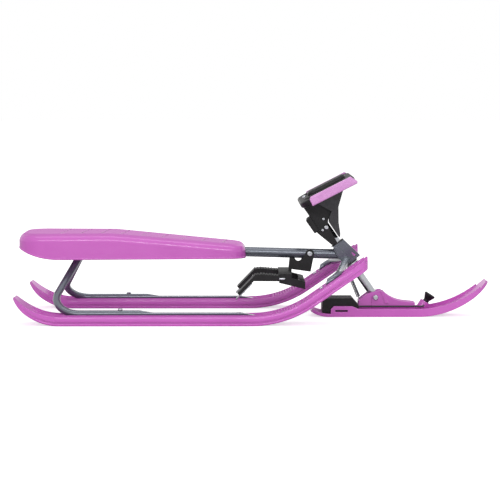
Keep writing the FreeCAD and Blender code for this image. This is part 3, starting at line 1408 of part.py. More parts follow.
eyelet_x = "(handle_x - (handle_z - line_rise) * tan(handle_lean))"
socket_foot = "(mount_rear + mount_length + seat_gap)"
foot_low = "(front_floor + socket_lift)"
socket_block = place(block("socket_foot", f"socket_foot_front - {socket_foot}", "socket_foot_width",
                           f"socket_foot_top - {foot_low}"), socket_foot, "-socket_foot_width / 2",
                     foot_low)
socket_tube = on_handle(rod("socket_tube", "socket_diameter", "socket_depth"), "-socket_depth")
eyelet = across_at(rod("socket_eyelet", "line_diameter + line_clear", "socket_diameter"), eyelet_x, "0",
                   "line_rise")
socket_cuts = [on_handle(rod("socket_bore", "handle_plug + 2 * moving_gap", "socket_bore_depth + overrun"),
                         "-socket_bore_depth"), eyelet]
keep(cut("handle_socket_cut", combine("Fuse", "socket_solid", [socket_block, socket_tube]), socket_cuts),
     "handle_socket")

neck, plug_radius, flare = "handle_neck / 2", "handle_plug / 2", "handle_flare / 2"
knob = turned("tow_handle", [
    ("0", "-handle_plug_depth"), (plug_radius, "-handle_plug_depth"), (plug_radius, "moving_gap"),
    (neck, "moving_gap"),
    (neck, "handle_height / 4"), (flare, "handle_height - handle_crown"),
    (f"{flare} - handle_crown / 2", "handle_height"), ("0", "handle_height")])
flute = outline(knob, "XY_Plane", [(f"{flare} + flute_diameter / 4", "0", "flute_diameter / 2")],
                "handle_height")
first_flute = pocket(knob, flute, "handle_height", "One side")
ring_of_flutes = knob.newObject("PartDesign::PolarPattern", "handle_flutes")
ring_of_flutes.Originals = [first_flute]
ring_of_flutes.Axis = (next(item for item in knob.Origin.OriginFeatures if item.Role == "Z_Axis"), [""])
ring_of_flutes.Occurrences = flute_count
knob.Tip = ring_of_flutes
keep(on_handle(knob), "tow_handle")
stub = rod("handle_line", "line_diameter", "stub_length")
keep(on_handle(stub, "-handle_plug_depth - stub_length - running_fit"), "handle_line")


def make_tow_line():
    side, rise, x = -worth(line_side), worth("line_rise"), worth(eyelet_x)
    reach = worth(f"{wound_out} + line_diameter / 2 + moving_gap")
    start = worth(reel_centre) + math.sqrt(reach ** 2 - side ** 2)
    points = [FreeCAD.Vector(start, side, rise), FreeCAD.Vector(x, side, rise),
              FreeCAD.Vector(x, -worth("socket_diameter / 2 - line_diameter"), rise)]
    wire = bent_wire(points, [worth("line_bend")])
    shape = round_bar(wire, worth("line_diameter"))
    print(f"tow line: {wire.Length:.0f} mm in sight, bend radius {worth('line_bend'):.0f} mm")
    shaped("tow_line", shape)


make_tow_line()

# Foot brake: two cheeks on a bolt through the main tube, a web under the tube as a stop, a frame of bars.
brake_pivot_z = tube_z("brake_pivot_x")
cheek_in = "(tube_diameter / 2 + moving_gap)"
cheek_out = f"({cheek_in} + brake_cheek)"
web_top = f"(-{cheek_in} + (brake_rear - brake_web) * tan(tube_slope))"
bar_rear = "(-(brake_rear + brake_bar_depth))"
bar_front = "(-brake_rear + brake_web / 2)"
front_bar_rear = "(-(brake_rail_reach + brake_front_bar))"
bar_top = "(brake_bar_height - brake_bar_drop)"


def at_brake(item):
    return place(item, "brake_pivot_x", "0", brake_pivot_z)


ladder = new_body("brake_ladder")
pad(ladder, outline(ladder, "XZ_Plane", [drawn_to(
    rail_shares, bar_rear, f"-{bar_rear} - brake_rail_reach", "-brake_rail_low", "brake_rail_height")]),
    "brake_bar_width")
pad(ladder, outline(ladder, "XZ_Plane", [rectangle(bar_rear, bar_front, "-brake_bar_drop", bar_top)]),
    "brake_bar_width")
pocket(ladder, outline(ladder, "XZ_Plane", [[
    (f"{bar_rear} - overrun", "-brake_rail_low - overrun"), (front_bar_rear, "-brake_rail_low - overrun"),
    (front_bar_rear, f"{bar_top} + overrun"), (bar_front, f"{bar_top} + overrun"),
    (bar_front, "-brake_bar_drop"),
    (f"{bar_rear} - overrun", "-brake_bar_drop")]]), "brake_bar_width - 2 * brake_rail_width")

cheeks = new_body("brake_cheeks")
cheek_loop = drawn_to(brake_cheek_shares, "0", "brake_rear", "0", "brake_drop")
cheek_loop += [("brake_ear", "0"), ("0", "brake_ear", "brake_ear", "left"),
               ("-brake_ear", "0", "brake_ear", "left")]
cheek_loop += drawn_to(brake_notch_shares, "0", "brake_rear", "0", "brake_drop")
cheek_loop += [(f"{share} * brake_rear", web_top) for share in brake_web_shares]
pad(cheeks, outline(cheeks, "XZ_Plane", [cheek_loop]), f"2 * {cheek_out}")
pocket(cheeks, outline(cheeks, "XZ_Plane", [rectangle(
    "brake_web - brake_rear", "brake_ear + overrun", "-brake_drop - overrun", "brake_ear + overrun")]),
    f"2 * {cheek_in}")

pedal_front = "(brake_pivot_x - brake_rear - brake_bar_depth - seat_gap)"
pedal_rear = f"({pedal_front} - pedal_length)"
pedal_screw_z = f"({brake_pivot_z} - pedal_screw_drop)"
pedal_screw_spots = [f"{side} * pedal_offset + {share} * pedal_width"
                     for side in sides.values() for share in pedal_screw_shares]


def forward_at(item, x, y, z):
    return place(item, x, y, z, "90")


def pedal_screw_ways(name, spots):
    return [forward_at(rod(f"{name}_{number}", "pedal_screw + 2 * screw_slack",
                           "pedal_wall + pedal_screw_bite + overrun"),
                       f"{pedal_front} - pedal_wall - overrun + screw_slack", y, pedal_screw_z)
            for number, y in enumerate(spots)]


bolt_way = across_at(rod("brake_bolt_way", "brake_bolt + 2 * running_fit", f"3 * {cheek_out}"),
                     "brake_pivot_x", f"1.5 * {cheek_out}", brake_pivot_z)
brake_solid = combine("Fuse", "brake_solid", [at_brake(ladder), at_brake(cheeks)])
keep(cut("brake_frame_cut", brake_solid, [bolt_way] + pedal_screw_ways("bar_screw_way", pedal_screw_spots)),
     "brake_frame")

# Pedals: moulded treads screwed to the rear bar, each with a toothed steel claw riveted under its slope.
claw_x = f"({pedal_rear} + {pedal_top_shares[-1][0]} * pedal_length)"
claw_run = f"({claw_run_share} * pedal_length)"
claw_under = "(seat_gap + claw_thickness)"


def on_claw(item, ahead="0", side="0", up="0"):
    return place(item, f"{claw_x} + ({ahead}) * cos(claw_slope) - ({up}) * sin(claw_slope)", side,
                 f"pedal_low + ({ahead}) * sin(claw_slope) + ({up}) * cos(claw_slope)", "-claw_slope")


def rivet_ways(name, side, low):
    return [on_claw(rod(f"{name}_rivet_way_{number}", "rivet_diameter + 2 * screw_slack",
                        "rivet_bite + overrun"),
                    f"{share} * claw_length", f"{side} * pedal_offset", low)
            for number, share in enumerate(claw_rivet_shares)]


def make_pedal(name, side):
    pedal = new_body(f"{name}_pedal_solid")
    loop = drawn_to(pedal_top_shares, pedal_rear, "pedal_length", "pedal_low", "pedal_height")
    loop.append((f"{claw_x} + {claw_run}", f"pedal_low + {claw_run} * tan(claw_slope)"))
    pad(pedal, outline(pedal, "XZ_Plane", [loop]), "pedal_width")
    roof, foot = drawn_to(pedal_hollow_shares, pedal_rear, "pedal_length", "pedal_low", "pedal_height")
    room = [(f"{pedal_front} - pedal_wall", foot[1]), (f"{pedal_front} - pedal_wall", roof[1]), roof, foot]
    pocket(pedal, outline(pedal, "XZ_Plane", [room]), "pedal_width - 2 * pedal_wall")
    spots = [f"{side} * pedal_offset + {share} * pedal_width" for share in pedal_screw_shares]
    tools = pedal_screw_ways(f"{name}_pedal_screw_way", spots)
    tools += rivet_ways(name, side, "screw_slack - overrun")
    keep(cut(f"{name}_pedal_cut", place(pedal, "0", f"{side} * pedal_offset"), tools), f"{name}_pedal")


def make_claw(name, side):
    claw = new_body(f"{name}_claw_plate")
    half, step = "claw_width / 2", f"claw_width / {2 * claw_tooth_count}"
    loop = [("claw_length", f"-{half}"), ("claw_length", half)]
    loop += [("0" if corner % 2 == 0 else "-claw_tooth", f"{half} - {corner} * {step}")
             for corner in range(2 * claw_tooth_count + 1)]
    pad(claw, outline(claw, "XY_Plane", [loop], f"-{claw_under}"), "claw_thickness", "One side")
    tools = rivet_ways(f"{name}_claw", side, "-overrun")
    keep(cut(f"{name}_claw_cut", on_claw(claw, "0", f"{side} * pedal_offset"), tools), f"{name}_claw")


def make_rivet(name, side, share):
    shank, head, top = "rivet_diameter / 2", "rivet_head / 2", f"-{claw_under} - seat_gap"
    rivet = turned(name, [("0", f"{top} - rivet_head_rise"), (f"{head} * 0.6", f"{top} - rivet_head_rise"),
                          (head, f"{top} - rivet_head_rise / 3"), (head, top), (shank, top),
                          (shank, "rivet_bite"), ("0", "rivet_bite")])
    return on_claw(rivet, f"{share} * claw_length", f"{side} * pedal_offset")


def make_pedal_screw(name, y):
    shank, head, rim = "pedal_screw / 2", "pedal_screw_head / 2", "-pedal_wall - seat_gap"
    screw = turned(name, [("0", f"{rim} - pedal_screw_head_rise"),
                          (f"{head} * 0.7", f"{rim} - pedal_screw_head_rise"),
                          (head, f"{rim} - pedal_screw_head_rise / 2"), (head, rim), (shank, rim),
                          (shank, "pedal_screw_bite - seat_gap"), ("0", "pedal_screw_bite - seat_gap")])
    return forward_at(screw, pedal_front, y, pedal_screw_z)


for side_name, side in sides.items():
    make_pedal(side_name, side)
    make_claw(side_name, side)
rivets = [make_rivet(f"claw_rivet_{name}_{number}", side, share)
          for name, side in sides.items() for number, share in enumerate(claw_rivet_shares)]
keep(doc.addObject("Part::Compound", "claw_rivet_group"), "claw_rivets").Links = rivets
pedal_screws = [make_pedal_screw(f"pedal_screw_{number}", y) for number, y in enumerate(pedal_screw_spots)]
keep(doc.addObject("Part::Compound", "pedal_screw_group"), "pedal_screws").Links = pedal_screws

# Brake pivot: a bolt with its head on the right, and on the left a spool with the return spring and a nut.
leg_drift = "(return_leg * return_pitch / (pi * (return_diameter - return_wire)))"
coil_room = f"(return_turns * return_pitch + return_wire + 2 * {leg_drift})"
nut_y = f"({cheek_out} + moving_gap + {coil_room} + moving_gap)"
make_cross_bolt("brake_pivot_bolt", "brake_bolt", "brake_bolt_head", "brake_bolt_head_rise",
                f"{cheek_out} + seat_gap",
                f"{nut_y} + nut_height + seat_gap", "brake_pivot_x", brake_pivot_z)
make_hex_nut("brake_pivot_nut", "brake_bolt", "brake_bolt_head", nut_y, "brake_pivot_x", brake_pivot_z)
spool_in, spool_out = "brake_bolt / 2 + running_fit", "return_diameter / 2 - return_wire - moving_gap"
spool_length = f"{nut_y} - {cheek_out} - 2 * seat_gap"
spool = turned("return_spool", [(spool_in, "0"), (spool_out, "0"), (spool_out, spool_length),
                                (spool_in, spool_length)])
keep(across_at(spool, "brake_pivot_x", f"{nut_y} - seat_gap", brake_pivot_z), "return_spool")


def make_return_spring():
    axis, out = FreeCAD.Vector(0, 1, 0), FreeCAD.Vector(0, 0, 1)
    wire_size, turns = worth("return_wire"), int(worth("return_turns"))
    radius = (worth("return_diameter") - wire_size) / 2
    foot = FreeCAD.Vector(worth("brake_pivot_x"),
                          worth(f"{cheek_out} + moving_gap + {leg_drift} + return_wire / 2"),
                          worth(brake_pivot_z))
    stations = coil_stations(foot, axis, out, radius, worth("return_pitch"), turns)
    (begin, heading), (end, final) = stations[0], stations[-1]
    edges = [Part.LineSegment(begin - heading * worth("return_leg"), begin).toShape()]
    edges += coil_edges(stations)
    edges.append(Part.LineSegment(end, end + final * worth("return_leg")).toShape())
    wire = Part.Wire(edges)
    report_least_gap("return spring", wire, wire_size, 2 * math.pi * radius)
    shaped("return_spring", round_bar(wire, wire_size))


make_return_spring()

# Every piece is checked, then written to its own file.
doc.recompute()
for item in doc.Objects:
    if "Invalid" in item.State or "Error" in item.State:
        raise RuntimeError(f"{item.Label} could not be made")
os.makedirs("parts", exist_ok=True)
for node in nodes:
    if node.Shape.isNull() or not node.Shape.isValid():
        raise RuntimeError(f"{node.Label} has no valid shape")
    node.Shape.exportStep(f"parts/{node.Label}.step")
print(f"{len(nodes)} pieces written")
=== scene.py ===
import json
import math

import bmesh
import bpy
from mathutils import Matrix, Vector


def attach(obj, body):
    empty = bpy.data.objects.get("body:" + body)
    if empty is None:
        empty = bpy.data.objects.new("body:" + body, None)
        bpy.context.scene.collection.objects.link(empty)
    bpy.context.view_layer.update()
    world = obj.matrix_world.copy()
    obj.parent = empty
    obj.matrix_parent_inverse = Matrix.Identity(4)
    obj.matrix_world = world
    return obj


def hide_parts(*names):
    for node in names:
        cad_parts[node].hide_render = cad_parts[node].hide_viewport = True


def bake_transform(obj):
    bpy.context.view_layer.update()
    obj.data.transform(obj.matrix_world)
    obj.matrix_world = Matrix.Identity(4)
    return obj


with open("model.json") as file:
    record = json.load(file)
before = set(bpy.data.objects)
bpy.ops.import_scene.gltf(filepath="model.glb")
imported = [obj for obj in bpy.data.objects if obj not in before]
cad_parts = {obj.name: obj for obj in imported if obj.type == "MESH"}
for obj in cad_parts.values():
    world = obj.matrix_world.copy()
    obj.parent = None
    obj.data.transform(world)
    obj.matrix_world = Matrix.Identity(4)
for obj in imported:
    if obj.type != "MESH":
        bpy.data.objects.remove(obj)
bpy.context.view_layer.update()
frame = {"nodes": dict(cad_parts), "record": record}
print("frame loaded:", len(frame["nodes"]), "nodes")


# Small helpers
def hexColor(text):  # sRGB hex to linear RGBA
    channels = [int(text[i:i + 2], 16) / 255 for i in (1, 3, 5)]
    linear = [c / 12.92 if c <= 0.04045 else ((c + 0.055) / 1.055) ** 2.4 for c in channels]
    return (*linear, 1.0)


def addNode(tree, kind, inputs=None, **settings):  # one node with its settings, values and links
    node = tree.nodes.new(kind)
    for name, value in settings.items():
        setattr(node, name, value)
    for socket, value in (inputs or {}).items():
        if isinstance(value, bpy.types.NodeSocket):
            tree.links.new(value, node.inputs[socket])
        else:
            node.inputs[socket].default_value = value
    return node


def newObject(name, data):  # an object that is linked to the scene
    added = bpy.data.objects.new(name, data)
    bpy.context.scene.collection.objects.link(added)
    return added


def plainMesh(holder):  # what an object shows, as a mesh of its own
    bpy.context.view_layer.update()
    return bpy.data.meshes.new_from_object(holder.evaluated_get(bpy.context.evaluated_depsgraph_get()))


def meshFrom(name, shape):  # a mesh from a finished bmesh
    mesh = bpy.data.meshes.new(name)
    shape.to_mesh(mesh)
    shape.free()
    return mesh


def newMaterial(name):
    material = bpy.data.materials.new(name)
    material.use_nodes = True
    material.node_tree.nodes.clear()
    return material, material.node_tree


def surface(tree, values):  # the shader with its output
    shader = addNode(tree, "ShaderNodeBsdfPrincipled", values)
    addNode(tree, "ShaderNodeOutputMaterial", {"Surface": shader.outputs[0]})


def grain(tree, sizeMm, detail=3.0, stretch=(1, 1, 1), roughness=0.55):  # noise whose bumps are sizeMm wide
    place = addNode(tree, "ShaderNodeTexCoord")
    turned = addNode(tree, "ShaderNodeMapping", {"Vector": place.outputs["Object"], "Scale": stretch})
    noise = addNode(tree, "ShaderNodeTexNoise", {"Vector": turned.outputs["Vector"], "Scale": 1000 / sizeMm,
                                                 "Detail": detail, "Roughness": roughness})
    return noise.outputs["Fac"]


def bandColor(tree, pattern, band, first, second):  # first colour below the band of a pattern, second above
    low, high = [hexColor(color) if isinstance(color, str) else color for color in (first, second)]
    share = addNode(tree, "ShaderNodeMapRange", {"Value": pattern, "From Min": band[0], "From Max": band[1]})
    mixed = addNode(tree, "ShaderNodeMix", {0: share.outputs[0], 6: low, 7: high}, data_type="RGBA")
    return mixed.outputs[2]


cornerSamples = 4  # rays that look for a corner


def softCorner(tree, radiusMm, height, depthMm, strength):  # softened corners plus a surface bump
    soft = addNode(tree, "ShaderNodeBevel", {"Radius": radiusMm / 1000}, samples=cornerSamples)
    bump = addNode(tree, "ShaderNodeBump", {"Height": height, "Distance": depthMm / 1000,
                                            "Strength": strength, "Normal": soft.outputs["Normal"]})
    return bump.outputs["Normal"]


def cornerShare(tree, radiusMm):  # 1 on the flats, less where a corner is
    soft = addNode(tree, "ShaderNodeBevel", {"Radius": radiusMm / 1000}, samples=cornerSamples)
    flat = addNode(tree, "ShaderNodeNewGeometry")
    return addNode(tree, "ShaderNodeVectorMath", {0: soft.outputs["Normal"], 1: flat.outputs["Normal"]},
                   operation="DOT_PRODUCT").outputs["Value"]


def upShare(tree, band=(0.6, 0.97)):  # 0 on upright faces, 1 on those that look up: where boots and snow rub them dull, and where the pink takes painted shade
    face = addNode(tree, "ShaderNodeNewGeometry")
    way = addNode(tree, "ShaderNodeSeparateXYZ", {0: face.outputs["Normal"]})
    share = addNode(tree, "ShaderNodeMapRange", {"Value": way.outputs["Z"], "From Min": band[0],
                                                 "From Max": band[1]})
    return share.outputs[0]


# Moulded polyethylene: glossy sides, worn dull on top and darkened there as painted shade, paler along its
# corners as edge wear and painted highlight, long sliding scuffs along the run of the skis, faint orange peel
pinkSkin = {"color": "#d76ccd", "deep": "#cf63c5", "lit": "#e391dc", "shadedAndRubbedTop": "#bf5cb6", "cornerMm": 1.8,
            "edgeMm": 2.7, "edgeBand": (0.6, 0.97), "cloudMm": 160, "cloudBand": (0.3, 0.7),
            "scuffMm": 2.2, "scuffStretch": (0.06, 1, 1), "scuffBand": (0.4, 0.75), "gloss": (0.12, 0.19),
            "dull": 0.65, "ior": 1.56, "peelMm": 3.0, "peelDepthMm": 0.05, "peelStrength": 0.06}


def makePinkPolyethylene():
    material, tree = newMaterial("moulded polyethylene")
    clouds = grain(tree, pinkSkin["cloudMm"], detail=1)
    body = bandColor(tree, clouds, pinkSkin["cloudBand"], pinkSkin["deep"], pinkSkin["color"])
    corner = cornerShare(tree, pinkSkin["edgeMm"])
    # edge wear and painted highlight: corners take the paler pink
    edged = bandColor(tree, corner, pinkSkin["edgeBand"], pinkSkin["lit"], body)
    shadedAndRubbedTop = upShare(tree)
    # painted shade: faces that look up take a darker pink
    paint = bandColor(tree, shadedAndRubbedTop, (0.0, 1.0), edged, pinkSkin["shadedAndRubbedTop"])
    scuffs = grain(tree, pinkSkin["scuffMm"], detail=4, stretch=pinkSkin["scuffStretch"])
    rough = addNode(tree, "ShaderNodeMapRange", {
        "Value": scuffs, "From Min": pinkSkin["scuffBand"][0], "From Max": pinkSkin["scuffBand"][1],
        "To Min": pinkSkin["gloss"][0], "To Max": pinkSkin["gloss"][1]})
    dull = addNode(tree, "ShaderNodeMapRange", {"Value": shadedAndRubbedTop, "To Min": rough.outputs[0],
                                                "To Max": pinkSkin["dull"]})
    peel = grain(tree, pinkSkin["peelMm"], detail=2)
    normal = softCorner(tree, pinkSkin["cornerMm"], peel, pinkSkin["peelDepthMm"], pinkSkin["peelStrength"])
    surface(tree, {"Base Color": paint, "Roughness": dull.outputs[0], "IOR": pinkSkin["ior"],
                   "Normal": normal})
    return material


# Thermoplastic rubber grip: pale, matt, with a fine leathery grain
gripSkin = {"color": "#df9fdc", "deep": "#d490d1", "cornerMm": 1.5, "mottleMm": 30, "mottleBand": (0.3, 0.7),
            "roughness": 0.5, "ior": 1.5, "grainMm": 1.1, "grainDepthMm": 0.12, "grainStrength": 0.12}


def makeGripRubber():
    material, tree = newMaterial("soft thermoplastic rubber")
    mottle = grain(tree, gripSkin["mottleMm"])
    paint = bandColor(tree, mottle, gripSkin["mottleBand"], gripSkin["deep"], gripSkin["color"])
    pores = grain(tree, gripSkin["grainMm"], detail=2)
    normal = softCorner(tree, gripSkin["cornerMm"], pores, gripSkin["grainDepthMm"],
                        gripSkin["grainStrength"])
    surface(tree, {"Base Color": paint, "Roughness": gripSkin["roughness"], "IOR": gripSkin["ior"],
                   "Normal": normal})
    return material


# Powder coat on steel tube: blue-grey with metal flake, orange peel under a clear gloss
coatSkin = {"color": "#626771", "flake": "#7f848f", "cornerMm": 0.8, "flakeMm": 0.7, "flakeBand": (0.5, 0.8),
            "metallic": 0.55, "roughness": 0.24, "gloss": 0.5, "glossRoughness": 0.1, "peelMm": 2.4,
            "peelDepthMm": 0.04, "peelStrength": 0.08}


def makePowderCoat():
    material, tree = newMaterial("powder coated steel")
    flakes = grain(tree, coatSkin["flakeMm"], detail=1)
    paint = bandColor(tree, flakes, coatSkin["flakeBand"], coatSkin["color"], coatSkin["flake"])
    peel = grain(tree, coatSkin["peelMm"], detail=1)
    normal = softCorner(tree, coatSkin["cornerMm"], peel, coatSkin["peelDepthMm"], coatSkin["peelStrength"])
    surface(tree, {"Base Color": paint, "Metallic": coatSkin["metallic"], "Roughness": coatSkin["roughness"],
                   "Coat Weight": coatSkin["gloss"], "Coat Roughness": coatSkin["glossRoughness"],
                   "Normal": normal})
    return material


# Spark-eroded ABS: near black, fine grain, a trace of grey on corners as wear and painted highlight, dust in
# patches, dull on top; the real pits are finer, drawn as coarse as they need to show
absSkin = {"cornerMm": 0.9, "edgeBand": (0.55, 0.95), "dustMm": 14, "dustBand": (0.5, 0.9), "patchMm": 6,
           "patchRange": (-0.06, 0.08), "dull": 0.75, "ior": 1.53, "specular": 0.28, "pitMm": 0.8,
           "pitDepthMm": 0.06, "pitStrength": 0.3}


def makeAbs(name, color, lit, roughness):
    material, tree = newMaterial(name)
    dust = grain(tree, absSkin["dustMm"], detail=4)
    body = bandColor(tree, dust, absSkin["dustBand"], color, lit)
    # wear and painted highlight: corners take the paler grey
    paint = bandColor(tree, cornerShare(tree, absSkin["cornerMm"]), absSkin["edgeBand"], lit, body)
    pits = grain(tree, absSkin["pitMm"], detail=2)
    least, most = absSkin["patchRange"]
    rough = addNode(tree, "ShaderNodeMapRange", {"Value": grain(tree, absSkin["patchMm"]),
                                                 "To Min": roughness + least, "To Max": roughness + most})
    dull = addNode(tree, "ShaderNodeMapRange", {"Value": upShare(tree), "To Min": rough.outputs[0],
                                                "To Max": absSkin["dull"]})
    normal = softCorner(tree, absSkin["cornerMm"], pits, absSkin["pitDepthMm"], absSkin["pitStrength"])
    surface(tree, {"Base Color": paint, "Roughness": dull.outputs[0], "IOR": absSkin["ior"],
                   "Specular IOR Level": absSkin["specular"], "Normal": normal})
    return material


# Plated and drawn steels: bright, with a cloudy shine
steelSkin = {"band": (0.3, 0.7), "spread": (0.7, 1.3), "cornerMm": 0.4, "depthMm": 0.02, "strength": 0.1}


def makeSteel(name, color, dark, roughness, cloudMm):
    material, tree = newMaterial(name)
    clouds = grain(tree, cloudMm, detail=4)
    paint = bandColor(tree, clouds, steelSkin["band"], dark, color)
    least, most = steelSkin["spread"]
    rough = addNode(tree, "ShaderNodeMapRange", {"Value": clouds, "To Min": roughness * least,
                                                 "To Max": roughness * most})
    normal = softCorner(tree, steelSkin["cornerMm"], clouds, steelSkin["depthMm"], steelSkin["strength"])
    surface(tree, {"Base Color": paint, "Metallic": 1.0, "Roughness": rough.outputs[0], "Normal": normal})
    return material


# Acetal bushes: black, waxy, with a faint mottle
bushSkin = {"color": "#26262a", "lit": "#323236", "cornerMm": 0.4, "mottleMm": 8, "roughness": 0.42,
            "ior": 1.48, "waxMm": 0.6, "waxDepthMm": 0.03, "waxStrength": 0.2}


def makeAcetal():
    material, tree = newMaterial("black acetal")
    mottle = grain(tree, bushSkin["mottleMm"])
    paint = bandColor(tree, mottle, (0.0, 1.0), bushSkin["color"], bushSkin["lit"])
    wax = grain(tree, bushSkin["waxMm"])
    normal = softCorner(tree, bushSkin["cornerMm"], wax, bushSkin["waxDepthMm"], bushSkin["waxStrength"])
    surface(tree, {"Base Color": paint, "Roughness": bushSkin["roughness"], "IOR": bushSkin["ior"],
                   "Normal": normal})
    return material


# Weld metal under the coat: rippled, paler on the crests and darker in the troughs as painted highlight and
# shade, a little duller than the tube
weldSkin = {"color": "#4c4f58", "lit": "#71757f", "rippleMm": 1.2, "rippleBand": (0.3, 0.75), "metallic": 0.5,
            "roughness": 0.36, "depthMm": 0.3, "strength": 0.5}


def makeWeld():
    material, tree = newMaterial("coated weld bead")
    ripples = grain(tree, weldSkin["rippleMm"])
    # painted highlight and shade: ripple crests paler, troughs darker
    paint = bandColor(tree, ripples, weldSkin["rippleBand"], weldSkin["color"], weldSkin["lit"])
    bump = addNode(tree, "ShaderNodeBump", {"Height": ripples, "Distance": weldSkin["depthMm"] / 1000,
                                            "Strength": weldSkin["strength"]})
    surface(tree, {"Base Color": paint, "Metallic": weldSkin["metallic"], "Roughness": weldSkin["roughness"],
                   "Normal": bump.outputs["Normal"]})
    return material


# Braided nylon line: two sets of yarns cross at a slant, with a dull sheen; UV runs round and along the line
braid = {"color": "#1d1d20", "lit": "#46464b", "band": (-0.6, 1.0), "yarns": 4, "pitchMm": 5.0,
         "depthMm": 0.4, "strength": 0.5, "roughness": 0.62, "ior": 1.53, "sheen": 0.25, "sheenRoughness": 0.4}


def makeBraidedNylon():
    material, tree = newMaterial("braided nylon")
    run = addNode(tree, "ShaderNodeUVMap", uv_map="run")
    around = addNode(tree, "ShaderNodeSeparateXYZ", {0: run.outputs["UV"]})
    turns = addNode(tree, "ShaderNodeMath", {0: around.outputs["X"], 1: braid["yarns"] * math.tau},
                    operation="MULTIPLY")
    along = addNode(tree, "ShaderNodeMath", {0: around.outputs["Y"], 1: 1000 * math.tau / braid["pitchMm"]},
                    operation="MULTIPLY")
    crossings = []
    for way in ("ADD", "SUBTRACT"):
        slant = addNode(tree, "ShaderNodeMath", {0: turns.outputs[0], 1: along.outputs[0]}, operation=way)
        crossings.append(addNode(tree, "ShaderNodeMath", {0: slant.outputs[0]}, operation="SINE").outputs[0])
    yarn = addNode(tree, "ShaderNodeMath", {0: crossings[0], 1: crossings[1]}, operation="MAXIMUM").outputs[0]
    # painted highlight and shade: paler on the yarns' crowns, darker in the gaps between them
    paint = bandColor(tree, yarn, braid["band"], braid["color"], braid["lit"])
    bump = addNode(tree, "ShaderNodeBump", {"Height": yarn, "Distance": braid["depthMm"] / 1000,
                                            "Strength": braid["strength"]})
    surface(tree, {"Base Color": paint, "Roughness": braid["roughness"], "IOR": braid["ior"],
                   "Sheen Weight": braid["sheen"], "Sheen Roughness": braid["sheenRoughness"],
                   "Normal": bump.outputs["Normal"]})
    return material


pinkMoulding = makePinkPolyethylene()
gripRubber = makeGripRubber()
powderCoat = makePowderCoat()
blackAbs = makeAbs("black ABS", color="#151416", lit="#252428", roughness=0.4)
greyAbs = makeAbs("dark grey ABS", color="#37373a", lit="#4c4c50", roughness=0.46)
chromePlate = makeSteel("bright chrome plate", color="#c2c4c8", dark="#a6a8ae", roughness=0.10, cloudMm=60)
zincPlate = makeSteel("zinc plated steel", color="#cfd1d5", dark="#aeb1b7", roughness=0.26, cloudMm=5)
springWire = makeSteel("drawn spring wire", color="#85878d", dark="#5e6066", roughness=0.26, cloudMm=1.2)
acetal = makeAcetal()
weldMetal = makeWeld()
braidedNylon = makeBraidedNylon()
print("materials made:", len(bpy.data.materials))

dressing = {
    "pink_plastic": pinkMoulding, "grip_plastic": gripRubber, "frame_paint": powderCoat,
    "black_plastic": blackAbs, "shell_plastic": greyAbs, "bush_plastic": acetal, "bright_chrome": chromePlate,
    "zinc_steel": zincPlate, "spring_steel": springWire, "line_cord": braidedNylon,
}
for part in frame["record"]["subparts"]:  # each solid takes the finish of its slot
    solid = frame["nodes"][part["node"]]
    solid.data.materials.clear()
    solid.data.materials.append(dressing[part["material_slot"]])
print("solids dressed")


# Pieces
def newPiece(name, mesh, body, material):
    piece = newObject(name, mesh)
    mesh.materials.clear()
    mesh.materials.append(material)
    if body:
        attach(piece, body)
    return piece


def routePoints(name, controls, resolution=16):  # a smooth line through the route, read from its own spline
    curve = bpy.data.curves.new(name, "CURVE")
    curve.dimensions, curve.resolution_u = "3D", resolution
    spline = curve.splines.new("NURBS")
    spline.points.add(len(controls) - 1)
    for point, place in zip(spline.points, controls):
        point.co = (*place, 1)
    spline.order_u, spline.use_endpoint_u = 3, True
    holder = newObject(name, curve)
    mesh = plainMesh(holder)
    points = [vertex.co.copy() for vertex in mesh.vertices]
    bpy.data.objects.remove(holder)
    bpy.data.meshes.remove(mesh)
    return points


def tubeMesh(name, points, radius, sides=12):  # a closed tube whose UV map runs round and along it
    shape = bmesh.new()
    run = shape.loops.layers.uv.new("run")
    turns = [math.tau * s / sides for s in range(sides)]
    rings, lengths, length = [], [], 0.0
    side = None
    for index, point in enumerate(points):
        before, after = points[max(index - 1, 0)], points[min(index + 1, len(points) - 1)]
        along = (after - before).normalized()
        length += (point - before).length
        side = along.orthogonal() if side is None else side - along * side.dot(along)
        side.normalize()
        across = along.cross(side)
        spokes = [side * math.cos(turn) + across * math.sin(turn) for turn in turns]
        rings.append([shape.verts.new(point + spoke * radius) for spoke in spokes])
        lengths.append(length)
    for ring, following, low, high in zip(rings, rings[1:], lengths, lengths[1:]):
        for s in range(sides):
            face = shape.faces.new((ring[s], ring[(s + 1) % sides], following[(s + 1) % sides], following[s]))
            face.smooth = True
            corners = ((s / sides, low), ((s + 1) / sides, low), ((s + 1) / sides, high), (s / sides, high))
            for loop, corner in zip(face.loops, corners):
                loop[run].uv = corner
    shape.faces.new(reversed(rings[0]))
    shape.faces.new(rings[-1])
    return meshFrom(name, shape)


# Tow line beside the mount, from the drum to the socket's side
lineRoute = {"diameter": 0.004, "controls": [(0.22125, -0.026, 0.0245), (0.4059, -0.026, 0.0245),
                                            (0.42243, -0.026, 0.0245), (0.42243, -0.0095, 0.0245)]}
linePoints = routePoints("lineRoute", [Vector(place) for place in lineRoute["controls"]])
towLine = newPiece("towLine", tubeMesh("towLine", linePoints, lineRoute["diameter"] / 2), "front_ski",
                   braidedNylon)
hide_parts("tow_line")

